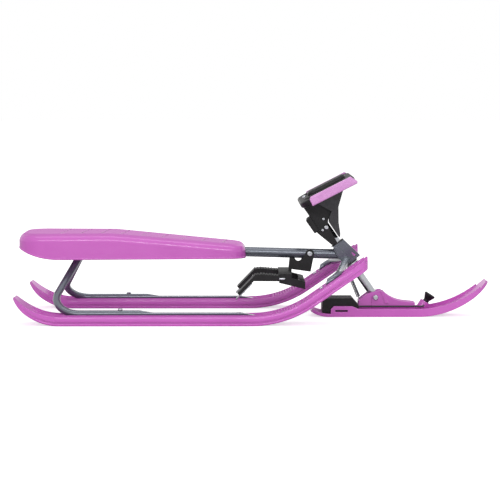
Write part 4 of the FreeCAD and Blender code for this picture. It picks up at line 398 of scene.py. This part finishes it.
# Line on the drum: one run wound in three layers, with the radius and height at which each turn starts
winding = {"centre": (0.2055, 0.0), "steps": 12, "sides": 8, "turns": [
    (0.0195, 0.0202), (0.0195, 0.0245), (0.0195, 0.0288), (0.0229, 0.0266), (0.0229, 0.0223), (0.026, 0.0203),
    (0.026, 0.0246)]}
windingX, windingY = winding["centre"]
windingPath = []
for (radius, rise), (nextRadius, nextRise) in zip(winding["turns"], winding["turns"][1:]):
    for step in range(winding["steps"]):
        share = step / winding["steps"]
        angle = math.tau * share - math.pi / 2
        reach = radius + (nextRadius - radius) * share
        windingPath.append(Vector((windingX + reach * math.cos(angle), windingY + reach * math.sin(angle),
                                   rise + (nextRise - rise) * share)))
windingTube = tubeMesh("woundLine", routePoints("windingRoute", windingPath), lineRoute["diameter"] / 2,
                       winding["sides"])
woundLine = newPiece("woundLine", windingTube, "reel", braidedNylon)
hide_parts("wound_line")

# Line under the knob, where it comes out of the socket along the knob's lean
pull = {"foot": (0.4286, 0.0, 0.034), "lean": 33, "low": -0.0140, "high": -0.0079, "rings": 24}
pullLean = math.radians(pull["lean"])
pullAxis = Vector((math.sin(pullLean), 0, math.cos(pullLean)))
pullPoints = []
for ring in range(pull["rings"]):
    height = pull["low"] + (pull["high"] - pull["low"]) * ring / (pull["rings"] - 1)
    pullPoints.append(Vector(pull["foot"]) + pullAxis * height)
pullLine = newPiece("pullLine", tubeMesh("pullLine", pullPoints, lineRoute["diameter"] / 2), None,
                    braidedNylon)
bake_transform(pullLine)
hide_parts("handle_line")

# Levelling spring: wound wire from the lug on the column to the anchor on the front ski
levelling = {"top": (0.2331, 0, 0.111), "foot": (0.264, 0, 0.037), "diameter": 0.0107, "wire": 0.0021,
             "leg": 0.008, "bend": 0.002, "turns": 24, "steps": 12, "sides": 8, "resolution": 3}
springTop, springFoot = Vector(levelling["top"]), Vector(levelling["foot"])
springAxis = (springTop - springFoot).normalized()
springOut = Vector((0, 1, 0))
springAcross = springAxis.cross(springOut)
coilFoot = springFoot + springAxis * (levelling["leg"] + levelling["bend"])
coilLength = (springTop - springFoot).length - 2 * (levelling["leg"] + levelling["bend"])
coilSteps = levelling["turns"] * levelling["steps"]
springPath = [springFoot, springFoot + springAxis * levelling["leg"]]
for step in range(coilSteps + 1):
    angle = math.tau * step / levelling["steps"]
    spoke = springOut * math.cos(angle) + springAcross * math.sin(angle)
    springPath.append(coilFoot + spoke * (levelling["diameter"] - levelling["wire"]) / 2
                      + springAxis * (coilLength * step / coilSteps))
springPath += [springTop - springAxis * levelling["leg"], springTop]
springRun = routePoints("springRoute", springPath, levelling["resolution"])
springTube = tubeMesh("levellingSpring", springRun, levelling["wire"] / 2, levelling["sides"])
levellingSpring = newPiece("levellingSpring", springTube, None, springWire)
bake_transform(levellingSpring)
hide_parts("levelling_spring")


# Geometry Nodes helpers: a tree with named inputs, and its result as a plain mesh
def newTree(name, sockets):
    tree = bpy.data.node_groups.new(name, "GeometryNodeTree")
    tree.interface.new_socket("Geometry", in_out="INPUT", socket_type="NodeSocketGeometry")
    for socket, kind in sockets.items():
        tree.interface.new_socket(socket, in_out="INPUT", socket_type=kind)
    tree.interface.new_socket("Geometry", in_out="OUTPUT", socket_type="NodeSocketGeometry")
    return tree, addNode(tree, "NodeGroupInput")


def closeTree(tree, instances, material, smooth=True):  # real geometry, smooth or in facets, in its material
    made = addNode(tree, "GeometryNodeRealizeInstances", {"Geometry": instances})
    if smooth:
        made = addNode(tree, "GeometryNodeSetShadeSmooth", {"Geometry": made.outputs[0]})
    dressed = addNode(tree, "GeometryNodeSetMaterial", {"Geometry": made.outputs[0], "Material": material})
    addNode(tree, "NodeGroupOutput", {0: dressed.outputs[0]})


def runTree(name, mesh, tree, values):
    holder = newObject(name + "Source", mesh)
    modifier = holder.modifiers.new("nodes", "NODES")
    modifier.node_group = tree
    for item in tree.interface.items_tree:
        if item.in_out == "INPUT" and item.name in values:
            modifier[item.identifier] = values[item.name]
    result = plainMesh(holder)
    result.name = name
    holder.modifiers.remove(modifier)
    bpy.data.objects.remove(holder)
    return result


def pointMesh(name, points):
    mesh = bpy.data.meshes.new(name)
    mesh.from_pydata(points, [], [])
    return mesh


def edgeMesh(name, paths):  # open or closed runs of edges
    points, edges = [], []
    for path, closed in paths:
        first = len(points)
        points += path
        edges += [(first + i, first + i + 1) for i in range(len(path) - 1)]
        if closed:
            edges.append((len(points) - 1, first))
    mesh = bpy.data.meshes.new(name)
    mesh.from_pydata(points, edges, [])
    return mesh


# Weld beads: overlapping drops along each seam of the frame
weld = {"bead": 0.0024, "pitch": 0.0021, "steps": 40, "dropDetail": 2}
tube = {"front": Vector((0.227, 0, 0.153)), "slope": 1.6, "radius": 0.0125}
leg = {"top": (-0.424, 0.1712), "heel": (-0.505, 0.2, 0.0252), "radius": 0.009}
strut = {"knee": (0.2, 0.2, 0.1187), "head": (0.231, 0.141), "radius": 0.009, "cheek": 0.017}
cheek = {"seam": [(0.1990, 0.1650), (0.2035, 0.1560), (0.2065, 0.1510), (0.2120, 0.1430)], "out": 0.0142}
tubeSlope = math.radians(tube["slope"])
tubeAxis = Vector((-math.cos(tubeSlope), 0, math.sin(tubeSlope)))


def ringOn(centre, axis, radius, share):  # a point of a tube's outline at a share of its turn
    side = axis.orthogonal().normalized()
    angle = math.tau * share
    return centre + (side * math.cos(angle) + axis.cross(side) * math.sin(angle)) * radius


def toTube(point, axis):  # slides a point along an axis, out from the main tube's middle to its skin
    offset = point - tube["front"]
    offset -= tubeAxis * offset.dot(tubeAxis)
    way = axis - tubeAxis * axis.dot(tubeAxis)
    a, b, c = way.dot(way), 2 * way.dot(offset), offset.dot(offset) - tube["radius"] ** 2
    return point + axis * ((-b + math.sqrt(max(b * b - 4 * a * c, 0))) / (2 * a))


weldPaths = []
for side in (-1, 1):
    legTop = Vector((leg["top"][0], 0, leg["top"][1]))
    legAxis = (Vector((leg["heel"][0], side * leg["heel"][1], leg["heel"][2])) - legTop).normalized()
    weldPaths.append(([toTube(ringOn(legTop, legAxis, leg["radius"], i / weld["steps"]), legAxis)
                       for i in range(weld["steps"])], True))
    head = Vector((strut["head"][0], 0, strut["head"][1]))
    strutAxis = (Vector((strut["knee"][0], side * strut["knee"][1], strut["knee"][2])) - head).normalized()
    seam = []
    for i in range(weld["steps"]):
        point = ringOn(head, strutAxis, strut["radius"], i / weld["steps"])
        seam.append(point + strutAxis * ((side * strut["cheek"] - point.y) / strutAxis.y))
    weldPaths.append((seam, True))
    weldPaths.append(([Vector((x, side * cheek["out"], z)) for x, z in cheek["seam"]], False))

weldTree, given = newTree("weldBeads", {"Bead": "NodeSocketFloat", "Pitch": "NodeSocketFloat"})
seams = addNode(weldTree, "GeometryNodeMeshToCurve", {0: given.outputs["Geometry"]})
spaced = addNode(weldTree, "GeometryNodeResampleCurve", {"Curve": seams.outputs[0],
                                                         "Length": given.outputs["Pitch"]}, mode="LENGTH")
drop = addNode(weldTree, "GeometryNodeMeshIcoSphere", {"Radius": given.outputs["Bead"],
                                                       "Subdivisions": weld["dropDetail"]})
drops = addNode(weldTree, "GeometryNodeInstanceOnPoints", {"Points": spaced.outputs[0],
                                                           "Instance": drop.outputs[0]})
closeTree(weldTree, drops.outputs[0], weldMetal)
beads = runTree("weldBeads", edgeMesh("weldSeams", weldPaths), weldTree,
                {"Bead": weld["bead"], "Pitch": weld["pitch"]})
newPiece("weldBeads", beads, "frame", weldMetal)
print("weld seams:", len(weldPaths))

# Bolt heads with a hex socket, over the plain heads of the solids, in shares of the head's radius;
# each bolt has the place of its head's top, its way out and its radius
headShape = {"sides": 24, "rings": [(1.03, -0.55), (1.03, -0.2), (0.94, 0.0), (0.82, 0.12), (0.68, 0.17)],
             "hex": 0.5, "rim": 0.17, "floor": 0.02}
bolts = {
    "frame": [((-0.326, -0.2, 0.0379), (0, 0, 1), 0.0055), ((-0.326, 0.2, 0.0379), (0, 0, 1), 0.0055),
              ((0.15717, -0.2, 0.08871), (-0.5693, 0, 0.8221), 0.0055),
              ((0.15717, 0.2, 0.08871), (-0.5693, 0, 0.8221), 0.0055),
              ((-0.49002, 0, 0.15633), (0, 0, -1), 0.0065), ((-0.13, 0, 0.14627), (0, 0, -1), 0.0065),
              ((0.1374, -0.0211, 0.1555), (0, -1, 0), 0.0065)],
    "steering": [((0.16892, -0.0206, 0.21492), (0, -1, 0), 0.0035),
                 ((0.1714, -0.0206, 0.24277), (0, -1, 0), 0.0035),
                 ((0.12255, -0.011, 0.2982), (-0.454, 0, 0.891), 0.0045),
                 ((0.12255, 0.011, 0.2982), (-0.454, 0, 0.891), 0.0045),
                 ((0.17875, -0.0222, 0.2218), (0, -1, 0), 0.0055)],
    "front_ski": [((0.33796, 0, 0.002), (0, 0, -1), 0.00425), ((0.38026, 0, 0.002), (0, 0, -1), 0.00425),
                  ((0.2325, -0.03483, 0.002), (0, 0, -1), 0.0035),
                  ((0.2325, 0.03483, 0.002), (0, 0, -1), 0.0035),
                  ((0.3015, -0.0282, 0.0465), (0, -1, 0), 0.0065)],
    "brake": [((0.0525, y, 0.1), (-1, 0, 0), 0.0045) for y in (-0.09804, -0.06996, 0.06996, 0.09804)],
}


def boltHead():
    sides = headShape["sides"]
    turns = [math.tau * s / sides for s in range(sides)]
    shape = bmesh.new()
    rings = [[(radius, z)] * sides for radius, z in headShape["rings"]]
    hexReach = [headShape["hex"] * math.cos(math.pi / 6) / math.cos(turn % (math.pi / 3) - math.pi / 6)
                for turn in turns]
    rings += [[(reach, z) for reach in hexReach] for z in (headShape["rim"], headShape["floor"])]
    loops = [[shape.verts.new((r * math.cos(turn), r * math.sin(turn), z))
              for turn, (r, z) in zip(turns, ring)] for ring in rings]
    for low, high in zip(loops, loops[1:]):
        for s in range(sides):
            shape.faces.new((low[s], low[(s + 1) % sides], high[(s + 1) % sides], high[s]))
    shape.faces.new(loops[-1])
    shape.faces.new(reversed(loops[0]))
    return newObject("boltHead", meshFrom("boltHead", shape))


boltTree, given = newTree("boltHeads", {"Head": "NodeSocketObject"})
shapeOf = addNode(boltTree, "GeometryNodeObjectInfo", {"Object": given.outputs["Head"]})
outward = addNode(boltTree, "GeometryNodeInputNamedAttribute", {"Name": "outward"}, data_type="FLOAT_VECTOR")
reachOf = addNode(boltTree, "GeometryNodeInputNamedAttribute", {"Name": "reach"}, data_type="FLOAT")
facing = addNode(boltTree, "FunctionNodeAlignRotationToVector", {"Vector": outward.outputs[0]}, axis="Z")
heads = addNode(boltTree, "GeometryNodeInstanceOnPoints", {
    "Points": given.outputs["Geometry"], "Instance": shapeOf.outputs["Geometry"],
    "Rotation": facing.outputs[0], "Scale": reachOf.outputs[0]})
closeTree(boltTree, heads.outputs[0], zincPlate, smooth=False)
headHolder = boltHead()
for body, held in bolts.items():
    places = pointMesh(body + "BoltPlaces", [place for place, way, reach in held])
    places.attributes.new("outward", "FLOAT_VECTOR", "POINT").data.foreach_set(
        "vector", [v for place, way, reach in held for v in way])
    places.attributes.new("reach", "FLOAT", "POINT").data.foreach_set(
        "value", [reach for place, way, reach in held])
    newPiece(body + "BoltHeads", runTree(body + "BoltHeads", places, boltTree, {"Head": headHolder}), body,
             zincPlate)
bpy.data.objects.remove(headHolder)
print("bolt heads:", sum(len(held) for held in bolts.values()))

# Ribs that grip the rider's boots: round bars across the pedals and across the skis' front bend
barSides = 12
ribTree, given = newTree("gripRibs", {"Radius": "NodeSocketFloat", "Length": "NodeSocketFloat"})
bar = addNode(ribTree, "GeometryNodeMeshCylinder", {"Vertices": barSides, "Radius": given.outputs["Radius"],
                                                    "Depth": given.outputs["Length"]})
laid = addNode(ribTree, "GeometryNodeTransform", {"Geometry": bar.outputs["Mesh"],
                                                  "Rotation": (math.pi / 2, 0, 0)})
ribs = addNode(ribTree, "GeometryNodeInstanceOnPoints", {"Points": given.outputs["Geometry"],
                                                         "Instance": laid.outputs[0]})
closeTree(ribTree, ribs.outputs[0], blackAbs, smooth=False)  # newPiece puts the skis' ribs in pink

pedalRibs = {"top": [(0.0005, 0.1101), (0.0159, 0.1118), (0.0575, 0.1084)], "offset": 0.084, "count": 9,
             "radius": 0.0016, "length": 0.046, "rounding": 1e-9}
pedalTop = pedalRibs["top"]
pedalPoints = []
for i in range(pedalRibs["count"]):
    x = pedalTop[0][0] + (pedalTop[-1][0] - pedalTop[0][0]) * i / (pedalRibs["count"] - 1)
    for (x0, z0), (x1, z1) in zip(pedalTop, pedalTop[1:]):
        if x0 <= x <= x1 + pedalRibs["rounding"]:
            z = z0 + (z1 - z0) * (x - x0) / (x1 - x0)
    pedalPoints += [(x, side * pedalRibs["offset"], z) for side in (-1, 1)]
pedalBars = runTree("pedalRibs", pointMesh("pedalRibPlaces", pedalPoints), ribTree,
                    {"Radius": pedalRibs["radius"], "Length": pedalRibs["length"]})
newPiece("pedalRibs", pedalBars, "brake", blackAbs)

skiRibs = {"centre": (-0.01, 0.265), "radius": 0.2445, "from": 14.4, "to": 34.0, "count": 13, "offset": 0.2,
           "bar": 0.0022, "length": 0.076}
bendX, bendZ = skiRibs["centre"]
skiPoints = []
for i in range(skiRibs["count"]):
    angle = math.radians(skiRibs["from"] + (skiRibs["to"] - skiRibs["from"]) * i / (skiRibs["count"] - 1))
    for side in (-1, 1):
        skiPoints.append((bendX + skiRibs["radius"] * math.sin(angle), side * skiRibs["offset"],
                          bendZ - skiRibs["radius"] * math.cos(angle)))
skiBars = runTree("skiRibs", pointMesh("skiRibPlaces", skiPoints), ribTree,
                  {"Radius": skiRibs["bar"], "Length": skiRibs["length"]})
newPiece("skiRibs", skiBars, "frame", pinkMoulding)
print("ribs:", len(pedalPoints), "on the pedals,", len(skiPoints), "on the skis")

# Rolled lip round the lower edge of the seat, up over the tail
lip = {"rear": -0.583, "front": -0.023, "rearHalf": 0.115, "frontHalf": 0.075, "rearRound": 0.062,
       "frontRound": 0.042, "bottom": 0.15, "tailLength": 0.105, "tailLift": 0.027, "inset": 0.0015,
       "bead": 0.0026, "sides": 10, "arcSteps": 14, "spacing": 0.012}


def seatOutline():  # the plan of the seat with round corners, counter-clockwise from above
    corners = [(lip["front"], lip["frontHalf"], lip["frontRound"]),
               (lip["rear"], lip["rearHalf"], lip["rearRound"]),
               (lip["rear"], -lip["rearHalf"], lip["rearRound"]),
               (lip["front"], -lip["frontHalf"], lip["frontRound"])]
    tailBend = (lip["tailLength"] ** 2 + lip["tailLift"] ** 2) / (2 * lip["tailLift"])
    points = []
    for i, (x, y, radius) in enumerate(corners):
        here = Vector((x, y))
        before = (Vector(corners[i - 1][:2]) - here).normalized()
        after = (Vector(corners[(i + 1) % 4][:2]) - here).normalized()
        opening = before.angle(after)
        middle = here + (before + after).normalized() * (radius / math.sin(opening / 2))
        first = here + before * (radius / math.tan(opening / 2)) - middle
        last = here + after * (radius / math.tan(opening / 2)) - middle
        for step in range(lip["arcSteps"] + 1):
            spoke = first.lerp(last, step / lip["arcSteps"]).normalized() * (radius - lip["inset"])
            points.append(middle + spoke)
    filled = []
    for i, point in enumerate(points):  # long straight runs get points too, so that the tail can rise
        following = points[(i + 1) % len(points)]
        count = max(1, round((following - point).length / lip["spacing"]))
        filled += [point.lerp(following, k / count) for k in range(count)]
    path = []
    for point in filled:
        back = lip["rear"] + lip["tailLength"] - point.x
        rise = tailBend - math.sqrt(tailBend ** 2 - back ** 2) if back > 0 else 0.0
        path.append((point.x, point.y, lip["bottom"] + rise))
    return path


lipTree, given = newTree("seatLip", {"Bead": "NodeSocketFloat"})
edgeRun = addNode(lipTree, "GeometryNodeMeshToCurve", {0: given.outputs["Geometry"]})
section = addNode(lipTree, "GeometryNodeCurvePrimitiveCircle", {"Resolution": lip["sides"],
                                                                "Radius": given.outputs["Bead"]})
roll = addNode(lipTree, "GeometryNodeCurveToMesh", {"Curve": edgeRun.outputs[0],
                                                    "Profile Curve": section.outputs[0]})
closeTree(lipTree, roll.outputs[0], pinkMoulding)
lipRoll = runTree("seatLip", edgeMesh("seatLipRun", [(seatOutline(), True)]), lipTree, {"Bead": lip["bead"]})
newPiece("seatLip", lipRoll, "frame", pinkMoulding)
print("seat lip rolled")

# Trim along both sides of the rear skis: a full-height band on the flange and a bead under the step
skiTrim = {"flatRear": -0.47, "flatFront": -0.01, "rearBend": 0.133, "frontBend": 0.265, "frontTurn": 34.7,
           "frontEnd": 0.244, "track": 0.2, "taperSteps": 4, "thinEnd": 0.15, "arcSteps": 18, "sides": 20,
           "band": {"rise": 0.0163, "out": 0.0433, "half": (0.0022, 0.0062), "tailTurn": 6},
           "bead": {"rise": 0.0039, "out": 0.0406, "half": (0.0034, 0.0035), "tailTurn": 30}}


def skiRun(rise, tailTurn, y):  # the ski's side line at a height above its sole, from the tail to the nose
    points = []
    for step in range(skiTrim["arcSteps"], -1, -1):
        angle = math.radians(tailTurn * step / skiTrim["arcSteps"])
        reach = skiTrim["rearBend"] - rise
        points.append((skiTrim["flatRear"] - reach * math.sin(angle), y,
                       skiTrim["rearBend"] - reach * math.cos(angle)))
    for step in range(skiTrim["arcSteps"] + 1):
        angle = math.radians(skiTrim["frontTurn"] * step / skiTrim["arcSteps"])
        reach = skiTrim["frontBend"] - rise
        points.append((skiTrim["flatFront"] + reach * math.sin(angle), y,
                       skiTrim["frontBend"] - reach * math.cos(angle)))
    x, y, z = points[-1]
    slope = math.tan(math.radians(skiTrim["frontTurn"]))
    for step in range(1, 2 * skiTrim["taperSteps"] + 1):
        far = x + (skiTrim["frontEnd"] - x) * step / (2 * skiTrim["taperSteps"])
        points.append((far, y, z + (far - x) * slope))
    return points


trimTree, given = newTree("skiTrim", {"Depth": "NodeSocketFloat", "Height": "NodeSocketFloat"})
trimRun = addNode(trimTree, "GeometryNodeMeshToCurve", {0: given.outputs["Geometry"]})
upright = addNode(trimTree, "GeometryNodeSetCurveNormal", {"Curve": trimRun.outputs[0]}, mode="Z_UP")
unitRound = addNode(trimTree, "GeometryNodeCurvePrimitiveCircle", {"Resolution": skiTrim["sides"],
                                                                   "Radius": 1.0})
stretch = addNode(trimTree, "ShaderNodeCombineXYZ", {"X": given.outputs["Depth"],
                                                     "Y": given.outputs["Height"], "Z": 1.0})
oval = addNode(trimTree, "GeometryNodeTransform", {"Geometry": unitRound.outputs[0],
                                                   "Scale": stretch.outputs[0]})
taper = addNode(trimTree, "GeometryNodeInputNamedAttribute", {"Name": "taper"}, data_type="FLOAT")
trimSweep = addNode(trimTree, "GeometryNodeCurveToMesh", {
    "Curve": upright.outputs[0], "Profile Curve": oval.outputs[0], "Scale": taper.outputs[0],
    "Fill Caps": True})
closeTree(trimTree, trimSweep.outputs[0], pinkMoulding)
for name in ("band", "bead"):
    form = skiTrim[name]
    trimName = "ski" + name.capitalize() + "s"
    runs = [skiRun(form["rise"], form["tailTurn"], side * skiTrim["track"] + edge * form["out"])
            for side in (-1, 1) for edge in (-1, 1)]
    places = edgeMesh(name + "Run", [(run, False) for run in runs])
    fullness = []
    for run in runs:  # thin at both ends
        fromEnd = [min(i, len(run) - 1 - i) for i in range(len(run))]
        fullness += [min(1.0, skiTrim["thinEnd"] + steps / skiTrim["taperSteps"]) for steps in fromEnd]
    places.attributes.new("taper", "FLOAT", "POINT").data.foreach_set("value", fullness)
    trim = runTree(trimName, places, trimTree, {"Depth": form["half"][0], "Height": form["half"][1]})
    newPiece(trimName, trim, "frame", pinkMoulding)
print("ski trim laid")

# Gusset plates on the rear half of the head's cheeks
gusset = {"outline": [(0.2105, 0.1765), (0.2368, 0.1390), (0.2245, 0.1305), (0.2072, 0.1535),
                      (0.1980, 0.1712)],
          "inner": 0.0167, "thickness": 0.0016, "bevel": 0.0006, "bevelSteps": 2}
gussetShape = bmesh.new()
for side in (-1, 1):
    inner, outer = [[gussetShape.verts.new((x, side * out, z)) for x, z in gusset["outline"]]
                    for out in (gusset["inner"], gusset["inner"] + gusset["thickness"])]
    gussetShape.faces.new(inner)
    gussetShape.faces.new(reversed(outer))
    for i in range(len(inner)):
        after = (i + 1) % len(inner)
        gussetShape.faces.new((inner[after], inner[i], outer[i], outer[after]))
bmesh.ops.bevel(gussetShape, geom=gussetShape.edges[:], offset=gusset["bevel"], segments=gusset["bevelSteps"],
                affect="EDGES")
bmesh.ops.recalc_face_normals(gussetShape, faces=gussetShape.faces)
newPiece("gussetPlates", meshFrom("gussetPlates", gussetShape), "frame", powderCoat)
print("gusset plates fitted")

# Camera at the photograph's place: beside the sled, a little above the seat, with a long lens
shot = {"place": (-0.0479, -5.06, 0.567), "lens": 146.0, "sensor": 36, "pitch": 4.556, "yaw": 0.408,
        "reach": 100}
lens = bpy.data.cameras.new("camera")
lens.lens, lens.sensor_width, lens.sensor_fit = shot["lens"], shot["sensor"], "HORIZONTAL"
lens.clip_end = shot["reach"]
camera = newObject("camera", lens)
camera.location = shot["place"]
camera.rotation_euler = (math.radians(90 - shot["pitch"]), 0, math.radians(-shot["yaw"]))
bpy.context.scene.camera = camera

# Studio: white floor and world, long soft boxes whose reflections draw lines along the seat and the skis
studio = {"worldStrength": 0.57, "floorTone": "#ededed", "floorLift": 0.62, "floorSize": 60.0,
          "aim": (-0.05, 0, 0.12)}
lamps = [
    {"name": "top strip", "place": (-0.1, -0.9, 2.6), "size": (3.4, 0.6), "watts": 15},
    {"name": "front strip", "place": (-0.2, -3.0, 1.2), "size": (3.4, 0.3), "watts": 27},
    {"name": "back box", "place": (0.3, 2.6, 2.2), "size": (3.0, 1.6), "watts": 24},
]
for lamp in lamps:
    light = bpy.data.lights.new(lamp["name"], "AREA")
    light.shape, light.size, light.size_y = "RECTANGLE", *lamp["size"]
    light.energy = lamp["watts"]
    holder = newObject(lamp["name"], light)
    holder.location = lamp["place"]
    toSled = Vector(studio["aim"]) - Vector(lamp["place"])
    holder.rotation_euler = toSled.to_track_quat("-Z", "Y").to_euler()

world = bpy.data.worlds.new("studio")
world.use_nodes = True
worldTree = world.node_tree
worldTree.nodes.clear()
rays = addNode(worldTree, "ShaderNodeLightPath")
seen = addNode(worldTree, "ShaderNodeMath", {0: rays.outputs["Is Camera Ray"],
                                             1: rays.outputs["Is Transmission Ray"]}, operation="MAXIMUM")
seenOrShiny = addNode(worldTree, "ShaderNodeMath", {0: seen.outputs[0], 1: rays.outputs["Is Glossy Ray"]},
                      operation="MAXIMUM")
level = addNode(worldTree, "ShaderNodeMapRange", {"Value": seenOrShiny.outputs[0],
                                                  "To Min": studio["worldStrength"], "To Max": 1.0})
sky = addNode(worldTree, "ShaderNodeBackground", {"Color": (1, 1, 1, 1), "Strength": level.outputs["Result"]})
addNode(worldTree, "ShaderNodeOutputWorld", {"Surface": sky.outputs[0]})
bpy.context.scene.world = world

floorMaterial, floorTree = newMaterial("studio floor")
floorRays = addNode(floorTree, "ShaderNodeLightPath")
floorBase = addNode(floorTree, "ShaderNodeBsdfDiffuse", {"Color": hexColor(studio["floorTone"])})
floorLift = addNode(floorTree, "ShaderNodeMath", {0: floorRays.outputs["Is Camera Ray"],
                                                  1: studio["floorLift"]}, operation="MULTIPLY")
floorGlow = addNode(floorTree, "ShaderNodeEmission", {"Color": (1, 1, 1, 1),
                                                      "Strength": floorLift.outputs[0]})
floorSum = addNode(floorTree, "ShaderNodeAddShader", {0: floorBase.outputs[0], 1: floorGlow.outputs[0]})
addNode(floorTree, "ShaderNodeOutputMaterial", {"Surface": floorSum.outputs[0]})
floorMesh = bpy.data.meshes.new("floor")
half = studio["floorSize"] / 2
floorCorners = [(-half, -half, 0), (half, -half, 0), (half, half, 0), (-half, half, 0)]
floorMesh.from_pydata(floorCorners, [], [(0, 1, 2, 3)])
floorMesh.materials.append(floorMaterial)
floor = newObject("floor", floorMesh)
bpy.context.scene.view_settings.view_transform = "Standard"
print("camera and studio set")
